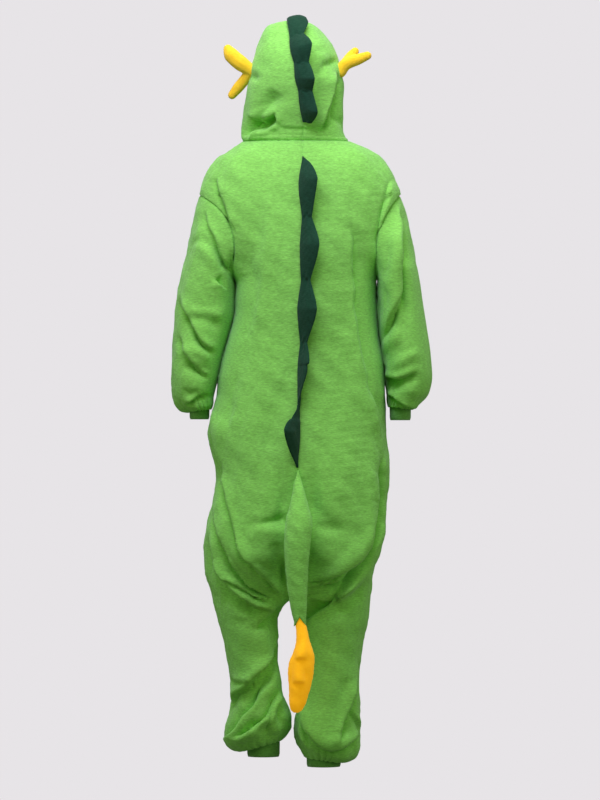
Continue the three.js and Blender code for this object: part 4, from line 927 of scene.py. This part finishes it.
def crest_object(node, path, material):
    """A stuffed fin along a path in the middle plane, scalloped into spikes, sewn in at its root."""
    crest = CRESTS[node]
    steps = crest["steps"]
    valleys = np.array(crest["valleys"])
    within = np.concatenate([np.tile(np.arange(steps) / steps, len(valleys) - 1), [1.0]])
    spike = np.concatenate([np.repeat(np.arange(len(valleys) - 1), steps), [len(valleys) - 2]])
    share = valleys[spike] + (valleys[spike + 1] - valleys[spike]) * within
    root = even_path(path, share)
    along = even_path(path, np.clip(share + 0.004, 0, 1)) - even_path(path, np.clip(share - 0.004, 0, 1))
    along[:, 0] = 0
    along /= np.linalg.norm(along, axis=1, keepdims=True)
    outward = np.cross(along, np.array([-1.0, 0, 0]))
    outward *= np.sign(outward[0, 1])
    row = crest["form"](share)
    rise = spike_rise(within)
    leaning = smooth(20, 40, np.abs(row["lean"]))
    twisted = row["lean"] - np.array(crest["twists"])[spike] * rise * leaning * np.sign(row["lean"])
    height = np.maximum(2, row["valley"] + (row["tip"] - row["valley"]) * rise)
    untwisted = np.sin(np.radians(np.abs(row["lean"]))) / np.sin(np.radians(np.abs(twisted) + 1e-6))
    height *= np.where(leaning > 0.5, untwisted, 1)
    root[:, 0] += np.array(crest["bulges"])[spike] * rise
    thick = np.minimum(SPIKE_THICK, 3 + height * 0.22) * (0.62 + 0.38 * rise)
    up_share = np.sin(np.linspace(0, math.pi / 2, FIN_COLUMNS))
    clear = SPIKE_CLEAR + 0.17 * SPIKE_THICK * np.abs(np.sin(np.radians(row["lean"])))[:, None]
    valley_pull = bell(np.minimum(within, 1 - within), 0.10)[:, None]
    sideways = np.array([[[-1.0, 0, 0]]])
    faces = []
    for sign, t in ((1, up_share), (-1, up_share[::-1])):
        lean = np.radians(twisted)[:, None] + np.radians(row["curl"])[:, None] * t / 2
        tilt = np.radians(twisted)[:, None] + np.radians(row["curl"])[:, None] * t
        up = outward[:, None] * np.cos(lean)[..., None] + sideways * np.sin(lean)[..., None]
        across = sideways * np.cos(tilt)[..., None] - outward[:, None] * np.sin(tilt)[..., None]
        reach = height[:, None] * t * 0.985
        half = sign * thick[:, None] * np.interp(t, FIN_SHARE, FIN_HALF)
        face = (root + outward * clear)[:, None] + up * reach[..., None] + across * half[..., None]
        # short pleats that fan out of each valley, and a slack cloth face
        fan = np.sin(t * 11 + 5 * within[:, None] + 2 * spike[:, None])
        slack = 0.55 * ripple(face, 24, 41) + 0.3 * ripple(face, 10, 42)
        crumple = (1.5 * valley_pull * fan + slack) * np.sin(math.pi * t) ** 0.5
        faces.append(face + across * (sign * crumple)[..., None])
    points = np.concatenate(faces, axis=1)
    index, quads = grid_quads(points, closed=True)
    ends = [index[0, ::-1].tolist(), index[-1].tolist()]
    obj = new_object(node + "_fin", points.reshape(-1, 3) * MM, quads.tolist() + ends, material)
    return outward_faces(obj, node)


def outward_faces(obj, node):
    work = bmesh.new()
    work.from_mesh(obj.data)
    bmesh.ops.recalc_face_normals(work, faces=work.faces)
    work.to_mesh(obj.data)
    work.free()
    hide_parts(node)
    return obj


def seam_path():
    z = np.linspace(BACK_CREST["top"], BACK_CREST["bottom"], BACK_CREST["knots"] + 1)
    return rounded_path(body_points("left", np.zeros(z.size), z), 400)


def crown_path():
    """Up the hood's back seam, along the crown ridge and down to the top of the face opening."""
    rise, fall = np.array(HOOD_CREST_RISE, float), np.array(HOOD_CREST_FALL, float)
    back = hood_points("left", np.zeros(rise.size), rise)
    ridge = hood_points("left", np.array([0.35, 0.65]), np.full(2, HOOD.last))
    front = hood_points("left", np.ones(fall.size), fall)
    return rounded_path(np.concatenate([back, ridge, front]), 300)


STUFFED_NAMES = ["z", "x", "half", "near", "far"]
TAIL = Sections(STUFFED_NAMES, [
    [-724, 3, 2, 161.1, 164.5],
    [-745, 2, 8, 161.3, 176],
    [-775, 1, 15, 161.8, 193],
    [-805, 0, 22, 163.2, 207],
    [-830, 0, 29, 165, 216],
    [-848, 1, 30, 166.2, 219],
    [-880, 4, 29, 168, 221],
    [-925, 5, 26, 170, 218],
    [-975, 4, 22.5, 171, 212],
    [-1020, 1, 18.5, 172, 205],
    [-1052, -2, 14, 173, 200],
])
TIP = Sections(STUFFED_NAMES, [
    [-1052.3, -2, 12, 176, 197],
    [-1072, -6, 13, 174, 201],
    [-1090, -8, 15, 173, 205],
    [-1108, -9.5, 19, 172, 209],
    [-1124, -9, 24, 171, 211],
    [-1140, -6, 28, 171, 211],
    [-1160, -4, 28.5, 171, 210],
    [-1188, -2, 25, 172, 208],
    [-1212, 1, 21.5, 173, 205],
    [-1232, 4, 18, 175, 202],
    [-1245, 6, 13, 178, 198],
    [-1251, 7, 6, 182, 194],
])
TIP_LOBES = [
    {"x": -3, "z": -1130, "length": 44, "half": 15, "height": 9},
    {"x": 1, "z": -1182, "length": 46, "half": 15, "height": 8},
]
JOINT_RISE = 13  # the tip's colour starts this much higher in the middle of the tail's back
JOINT_FALL = 11  # and this much lower at its sides
JOINT_REACH = 30
STUFFED_SIDES = 96


def lobe_height(x, z):
    """Lobes that swell downwards and end in a step."""
    lift = np.zeros(x.shape)
    for lobe in TIP_LOBES:
        down = (lobe["z"] + lobe["length"] - z) / lobe["length"]
        across = np.clip(1 - ((x - lobe["x"]) / lobe["half"]) ** 2, 0, 1)
        swell = np.where(down < 1, smooth(0, 0.9, down), np.clip((1.12 - down) / 0.12, 0, 1))
        lift += lobe["height"] * swell * across * (down > 0)
    return lift


def stuffed_object(name, node, form, rows, material, joint, bulge=None):
    """A stuffed piece of two faces with a crisp seam down each side. Its joint end runs in a point."""
    z = form.first + (form.last - form.first) * ends_closer(rows, 0.5)[:, None]
    angle = np.linspace(0, FULL_TURN, STUFFED_SIDES, endpoint=False)[None, :]
    cos, sin = np.cos(angle), np.sin(angle)
    z = z + (JOINT_RISE - (JOINT_RISE + JOINT_FALL) * np.abs(cos) ** 0.8) * bell(z - joint, JOINT_REACH)
    row = form(z)
    x = row["x"] + row["half"] * signed_power(cos, 0.9)
    y = (row["near"] + row["far"]) / 2 + (row["far"] - row["near"]) / 2 * signed_power(sin, 1.15)
    if bulge:
        y = y + np.where(sin > 0, bulge(x, z) * sin, 0)
    points = grid(x, y, z)
    seam = bell(sin * row["half"], 2.6)
    pull = 0.7 * np.sin(FULL_TURN * z / 13 + 2 * ripple(points, 60, 52)) * bell(sin, 0.4)
    uneven = 0.9 * ripple(points, 30, 51) + pull
    points[..., 0] += cos * (0.45 * uneven - 1.2 * seam)
    points[..., 1] += sin * uneven * (1 - seam)
    index, quads = grid_quads(points, closed=True)
    vertices = points.reshape(-1, 3).tolist()
    ends = []
    for rim in (index[0], index[-1]):
        vertices.append(points.reshape(-1, 3)[rim].mean(axis=0).tolist())
        ends += [[int(a), int(b), len(vertices) - 1] for a, b in zip(rim, np.roll(rim, -1))]
    return outward_faces(new_object(name, np.array(vertices) * MM, quads.tolist() + ends, material), node)


# A horn's prongs grow from a seat on the hood: for each the points of its curve, and the radii along it.
HORN_SEAT = {"angle": 80, "left": 155, "right": 152}
PRONGS = {
    "left": [
        ([[24, 2, 17], [43, 0, 34], [51, -2, 48]], [12.5, 16, 15, 9]),
        ([[12, -10, -17], [28, -18, -36], [42, -22, -53]], [11, 11, 11, 8.5]),
    ],
    "right": [
        ([[12, 2, 17], [37, 2, 27], [60, 0, 36]], [12, 12.5, 11.5, 8.5]),
        ([[14, -8, 22], [24, -14, 36], [33, -18, 46.5]], [10, 11, 10, 8]),
    ],
}
PRONG_BALLS = 30
HORN_VOXEL = 1.6
HORN_SWELL = 1.14  # the stuffing rounds what smoothing takes off
HORN_CLEAR = 0.4


def mesh_of(name, work, *materials):
    mesh = bpy.data.meshes.new(name)
    work.to_mesh(mesh)
    work.free()
    for material in materials:
        mesh.materials.append(material)
    return mesh


def horn_object(side, material):
    """Two stuffed prongs that grow out of one foot, as balls along curves melted into one skin."""
    z = float(HORN_SEAT[side])
    seat = hood_points(side, np.array([HORN_SEAT["angle"] / float(HOOD(z)["cover"])]), np.array([z]))[0]
    seat += np.array([SIDES[side] * 1.5, 0, 0])
    work = bmesh.new()
    for reach, radii in PRONGS[side]:
        knots = np.array([[0, 0, 0]] + reach, float) * np.array([SIDES[side], 1, 1]) + seat
        radius = np.interp(np.linspace(0, len(radii) - 1, PRONG_BALLS), range(len(radii)), radii)
        for centre, r in zip(rounded_path(knots, PRONG_BALLS), radius):
            made = bmesh.ops.create_icosphere(work, subdivisions=2, radius=r * HORN_SWELL * MM)
            bmesh.ops.translate(work, verts=made["verts"], vec=Vector(centre * MM))
    name = f"horn_skin_{side}"
    obj = placed(name, mesh_of(name, work))
    melt = obj.modifiers.new("melt", "REMESH")
    melt.mode = "VOXEL"
    melt.voxel_size = HORN_VOXEL * MM
    melt.use_smooth_shade = True
    even = obj.modifiers.new("even", "SMOOTH")
    even.iterations = 8
    even.factor = 0.6
    melted = bpy.data.meshes.new_from_object(obj.evaluated_get(bpy.context.evaluated_depsgraph_get()))
    obj.modifiers.clear()
    push_clear_of_hood(melted, side)
    obj.data = finished(melted, material)
    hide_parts(f"horn_{side}")
    return obj


def push_clear_of_hood(mesh, side):
    """A horn's foot is flattened against the hood's side."""
    points = np.empty(len(mesh.vertices) * 3)
    mesh.vertices.foreach_get("co", points)
    x, y, z = points.reshape(-1, 3).T / MM
    row = HOOD(z)
    share = np.clip(np.abs(y) / np.where(y > 0, row["back"], -row["front"]), 0, 0.98)
    wall = np.abs(row[side] - row["seam"]) * (1 - share ** (1 / TRUNK_SQUARE * 1.16)) ** (TRUNK_SQUARE / 1.7)
    reach = np.maximum((x - row["seam"]) * SIDES[side], wall + HORN_CLEAR)
    pushed = np.stack([row["seam"] + SIDES[side] * reach, y, z], axis=1)
    mesh.vertices.foreach_set("co", (pushed * MM).ravel())


BAND = {"top": -17, "end": -540, "half": 17, "clear": 0.6, "thick": 2.4, "stitch": 5,
        "columns": 25, "rows": 150}
BUTTONS = {"count": 5, "first": -40, "step": -112, "radius": 10, "clear": 0.5, "hole": 0.95, "hole_at": 2.4,
           "hole_z": 2.42, "thread": 0.55, "thread_z": 2.9, "sides": 40}


def front_points(offset, z, clear):
    """Points on the front of the trunk at a distance from the front edge, moved out from the cloth."""
    row = TRUNK(z)
    side_reach = np.where(offset >= 0, row["left"] - row["seam"], row["seam"] - row["right"])
    share = np.clip(np.abs(offset) / side_reach, 0, 1)
    u = 1 - np.arcsin(share ** (1 / TRUNK_SQUARE)) / math.pi
    points = np.where((offset >= 0)[..., None], trunk_points("left", u, z), trunk_points("right", u, z))
    normals = normals_of(points, "left")
    normals *= np.sign(-normals[..., 1:2])
    return points + normals * clear, normals


def button_band(material):
    offset, z = np.meshgrid(np.linspace(-BAND["half"], BAND["half"], BAND["columns"]),
                            np.linspace(BAND["top"], BAND["end"], BAND["rows"]))
    surface = front_points(offset, z, BAND["clear"] + BAND["thick"])
    inside = BAND["half"] - np.abs(offset)
    lift = 0.35 * ripple(surface[0], 24, 61)
    lift -= 1.1 * bell(inside, 2.2) + 0.5 * bell(inside - BAND["stitch"], 1.1)
    name, thick = "button_band_strip", BAND["thick"]
    return shell_object(name, "button_band", surface, lift, "right", material, thick=thick)


def add_rod(work, segments, radius, depth, move):
    """A short rod of thread's material, for a button's holes and its stitches."""
    made = bmesh.ops.create_cone(work, segments=segments, radius1=radius * MM, radius2=radius * MM,
                                 depth=depth * MM, cap_ends=True, matrix=move)
    for face in {f for v in made["verts"] for f in v.link_faces}:
        face.material_index = 1


def button_object(index, material, thread):
    """A round sew-through button with a rim, four holes and crossed thread."""
    middle_z = BUTTONS["first"] + BUTTONS["step"] * index
    offset, z = np.meshgrid([-2.0, 0, 2.0], middle_z + np.array([2.0, 0, -2.0]))
    points, normals = front_points(offset, z, BAND["clear"] + BAND["thick"] + BUTTONS["clear"])
    r, sides, hole_at = BUTTONS["radius"], BUTTONS["sides"], BUTTONS["hole_at"]
    profile = [(0.01, 0), (r - 1.2, 0), (r, 1.1), (r, 2.6), (r - 0.9, 3.7), (r - 2.2, 3.9),
               (r - 3.4, 3.0), (r - 4.2, 2.5), (0.01, 2.4)]
    work = bmesh.new()
    rings = [[work.verts.new((radius * math.cos(a) * MM, radius * math.sin(a) * MM, up * MM))
              for a in np.linspace(0, FULL_TURN, sides, endpoint=False)] for radius, up in profile]
    for low, high in zip(rings, rings[1:]):
        for j in range(sides):
            work.faces.new((low[j], low[(j + 1) % sides], high[(j + 1) % sides], high[j]))
    work.faces.new(rings[0][::-1])
    work.faces.new(rings[-1])
    for face in work.faces:
        face.smooth = True
    for angle in (45, 135, 225, 315):
        a = math.radians(angle)
        centre = Vector((hole_at * math.cos(a), hole_at * math.sin(a), BUTTONS["hole_z"]))
        add_rod(work, 14, BUTTONS["hole"], 0.3, Matrix.Translation(centre * MM))
    for angle in (45, -45):
        a = math.radians(angle)
        turn = Vector((math.cos(a), math.sin(a), 0)).to_track_quat("Z", "Y").to_matrix().to_4x4()
        up = Matrix.Translation(Vector((0, 0, BUTTONS["thread_z"] * MM)))
        add_rod(work, 8, BUTTONS["thread"], 2 * hole_at, up @ turn)
    name = f"button_face_{index + 1}"
    mesh = mesh_of(name, work, material, thread)
    turn = Vector((0, 0, 1)).rotation_difference(Vector(normals[1, 1])).to_matrix().to_4x4()
    mesh.transform(Matrix.Translation(Vector(points[1, 1] * MM)) @ turn)
    obj = placed(name, mesh)
    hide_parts(f"button_{index + 1}")
    return obj


def srgb(*colour):
    """A linear colour from one of 0 to 255."""
    return [c / 12.92 if c <= 0.04045 else ((c + 0.055) / 1.055) ** 2.4 for c in np.array(colour) / 255]


def set_inputs(node, values):
    for name, value in values.items():
        node.inputs[name].default_value = value


def noise_node(nodes, links, source, scale, detail=2, rough=0.55):
    node = nodes.new("ShaderNodeTexNoise")
    set_inputs(node, {"Scale": scale, "Detail": detail, "Roughness": rough})
    links.new(source, node.inputs["Vector"])
    return node.outputs["Fac"]


def two_tone(nodes, links, factor, low, high, dark, light):
    """A ramp between two colours, driven by a noise."""
    ramp = nodes.new("ShaderNodeValToRGB")
    for element, place, colour in zip(ramp.color_ramp.elements, (low, high), (dark, light)):
        element.position = place
        element.color = (*colour, 1)
    links.new(factor, ramp.inputs["Fac"])
    return ramp.outputs["Color"]


def new_material(name):
    material = bpy.data.materials.new(name)
    material.use_nodes = True
    nodes = material.node_tree.nodes
    return material, nodes, material.node_tree.links, nodes["Principled BSDF"]


def fleece(name, colour, pile=1.0, sheen=0.3, mottle_and_nap_shade=1.0, painted_glow=None):
    """Brushed fleece: a fine mottled nap lying in faint rows, with painted shade: its tone is darker where
    its bump sinks and lighter on its tufts.
    """
    material, nodes, links, shader = new_material(name)
    set_inputs(shader, {"Roughness": 0.95, "Specular IOR Level": 0.1})
    set_inputs(shader, {"Sheen Weight": sheen, "Sheen Roughness": 0.6})
    if painted_glow:
        # Painted light: the emission makes the fleece shine as if brightly lit; it is no lamp.
        set_inputs(shader, {"Emission Color": (*srgb(*painted_glow), 1), "Emission Strength": 0.4})
    place = nodes.new("ShaderNodeTexCoord").outputs["Object"]
    rows = nodes.new("ShaderNodeMapping")
    set_inputs(rows, {"Scale": (1, 1, 4.6)})
    links.new(place, rows.inputs["Vector"])
    tufts = noise_node(nodes, links, rows.outputs["Vector"], 120, 4, 0.7)
    fibres = noise_node(nodes, links, place, 950)
    clouds = noise_node(nodes, links, place, 16, 3)
    base = np.array(srgb(*colour))
    light = np.clip(base * (1 + 0.20 * mottle_and_nap_shade) + 0.008, 0, 1)
    cloudy = nodes.new("ShaderNodeMix")
    cloudy.data_type = "RGBA"
    cloudy.blend_type = "MULTIPLY"
    set_inputs(cloudy, {"Factor": 0.8})
    # The nap's tone follows its bump: painted shade in the hollows and painted highlight on the tufts, over
    # a random mottle.
    nap = two_tone(nodes, links, tufts, 0.32, 0.70, base * (1 - 0.24 * mottle_and_nap_shade), light)
    shade = two_tone(nodes, links, clouds, 0.3, 0.7, (0.95, 0.96, 0.93), (1, 1, 1))
    links.new(nap, cloudy.inputs["A"])
    links.new(shade, cloudy.inputs["B"])
    links.new(cloudy.outputs["Result"], shader.inputs["Base Color"])
    both = nodes.new("ShaderNodeMath")
    both.operation = "MULTIPLY_ADD"
    both.inputs[1].default_value = 0.4
    links.new(fibres, both.inputs[0])
    links.new(tufts, both.inputs[2])
    bump = nodes.new("ShaderNodeBump")
    set_inputs(bump, {"Strength": 0.5 * pile, "Distance": 0.0012})
    links.new(both.outputs["Value"], bump.inputs["Height"])
    links.new(bump.outputs["Normal"], shader.inputs["Normal"])
    return material


def plastic(name, colour):
    material, nodes, links, shader = new_material(name)
    set_inputs(shader, {"Roughness": 0.32})
    noise = noise_node(nodes, links, nodes.new("ShaderNodeTexCoord").outputs["Object"], 120, rough=0.5)
    base = np.array(srgb(*colour))
    shades = two_tone(nodes, links, noise, 0, 1, base * 0.88, np.clip(base * 1.08, 0, 1))
    links.new(shades, shader.inputs["Base Color"])
    return material


BACKDROP = {"near": 6.0, "bend": -2.2, "radius": 1.6, "height": 7.0, "half": 9}  # metres


def stage():
    """A pale floor that curves up into a backdrop, nearly even in tone."""
    bend, radius = BACKDROP["bend"], BACKDROP["radius"]
    profile = [(BACKDROP["near"], 0), (bend, 0)]
    for angle in np.linspace(0, math.pi / 2, 14):
        profile.append((bend - radius * math.sin(angle), radius * (1 - math.cos(angle))))
    profile.append((bend - radius, BACKDROP["height"]))
    vertices = [(x, y, FLOOR_Z * MM + z) for y, z in profile for x in (-BACKDROP["half"], BACKDROP["half"])]
    faces = [(2 * i, 2 * i + 1, 2 * i + 3, 2 * i + 2) for i in range(len(profile) - 1)]
    material, _, _, shader = new_material("studio_paper")
    set_inputs(shader, {"Base Color": (0, 0, 0, 1), "Roughness": 1.0, "Specular IOR Level": 0.0,
                        "Emission Color": (*srgb(231, 228, 231), 1), "Emission Strength": 1.0})
    backdrop = new_object("backdrop", vertices, faces, material)
    backdrop.visible_diffuse = False
    backdrop.visible_glossy = False
    backdrop.visible_shadow = False


CAMERA_DISTANCE = 16
SCALE_PLANE = 0.03  # y at which one pixel is PIXEL millimetres
SENSOR = 24
PHOTO_HEIGHT = 800  # pixels


def camera():
    data = bpy.data.cameras.new("camera")
    data.sensor_fit = "VERTICAL"
    data.sensor_height = SENSOR
    data.lens = SENSOR * CAMERA_DISTANCE / (PHOTO_HEIGHT * PIXEL * MM)
    obj = placed("camera", data)
    obj.location = (PHOTO_CENTRE[0] * MM, SCALE_PLANE + CAMERA_DISTANCE, PHOTO_CENTRE[1] * MM)
    obj.rotation_euler = (math.radians(90), 0, math.radians(180))
    bpy.context.scene.camera = obj


def area_light(name, place, target, size, power, colour=(1, 1, 1)):
    data = bpy.data.lights.new(name, "AREA")
    data.shape = "RECTANGLE"
    data.size, data.size_y = size
    data.energy = power
    data.color = colour
    obj = placed(name, data)
    obj.location = place
    obj.rotation_euler = (Vector(target) - Vector(place)).to_track_quat("-Z", "Y").to_euler()


FILL_COLOUR = (1, 0.99, 0.86)


LIGHTS = [  # name, place, target, size, power and colour
    ("key", (0.30, 1.25, 1.30), (0, 0.1, -0.15), (1.3, 0.8), 27, (1.12, 0.94, 1.65)),
    ("top", (-0.2, 0.2, 1.6), (0, 0, 0), (1.0, 1.0), 12),
    ("fill_left", (2.4, 1.6, 0.3), (0, 0, -0.4), (1.4, 1.8), 11, FILL_COLOUR),
    ("fill_right", (-2.4, 1.6, 0.3), (0, 0, -0.4), (1.4, 1.8), 14, FILL_COLOUR),
    ("front", (0.4, -3.0, 0.9), (0, 0, -0.6), (2.0, 2.0), 30),
]


def lights():
    """Soft light from above the shoulders, which falls off down the garment, and a dim even rest."""
    for light in LIGHTS:
        area_light(*light)
    world = bpy.data.worlds.new("studio")
    world.use_nodes = True
    nodes, links = world.node_tree.nodes, world.node_tree.links
    parts = nodes.new("ShaderNodeSeparateXYZ")
    links.new(nodes.new("ShaderNodeTexCoord").outputs["Generated"], parts.inputs["Vector"])
    sky = two_tone(nodes, links, parts.outputs["Z"], 0.0, 1.0, (0.27, 0.29, 0.22), (1, 1, 1))
    links.new(sky, nodes["Background"].inputs["Color"])
    set_inputs(nodes["Background"], {"Strength": 0.55})
    bpy.context.scene.world = world
    bpy.context.scene.view_settings.view_transform = "Standard"


camera()
lights()
stage()

GREEN = fleece("fleece_green", (135, 215, 84), sheen=0.16)
# The cuff bands are the body's fleece painted darker: painted shade for the shadow they hang in.
SHADED_CUFF_GREEN = fleece("fleece_green_painted_shade", (99, 166, 64), sheen=0.16)
DARK_GREEN = fleece("fleece_dark_green", (15, 64, 36), sheen=0.05, mottle_and_nap_shade=0.7)
YELLOW = fleece("fleece_yellow", (255, 212, 30), sheen=0.15, pile=0.6, mottle_and_nap_shade=0.4)
# The tail tip's emission is painted light, which brightens it as if lit.
FLAME_PAINTED_GLOW = fleece("fleece_flame_painted_glow", (255, 196, 18), sheen=0.1, pile=0.6, mottle_and_nap_shade=0.4, painted_glow=(255, 166, 4))
BUTTON = plastic("button_green", (95, 174, 69))
THREAD = plastic("button_thread", (70, 130, 52))


def dress(obj):
    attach(obj, "root")
    return obj


for side in SIDES:
    back = dress(body_panel(side, "back", GREEN))
    front = dress(body_panel(side, "front", GREEN))
    sleeve = dress(sleeve_tube(side, GREEN))
    hood = dress(hood_half(side, GREEN))
    horn = dress(horn_object(side, YELLOW))

for name, cuff in CUFFS.items():
    band = dress(cuff_band(name, SHADED_CUFF_GREEN))

hood_crest = dress(crest_object("hood_crest", crown_path(), DARK_GREEN))
back_crest = dress(crest_object("back_crest", seam_path(), DARK_GREEN))
tail = dress(stuffed_object("tail_body", "tail", TAIL, 110, GREEN, TAIL.last))
flame = stuffed_object("tail_flame", "tail_tip", TIP, 130, FLAME_PAINTED_GLOW, TIP.first, lobe_height)
tip = dress(flame)

strip = dress(button_band(GREEN))
for index in range(BUTTONS["count"]):
    dress(button_object(index, BUTTON, THREAD))
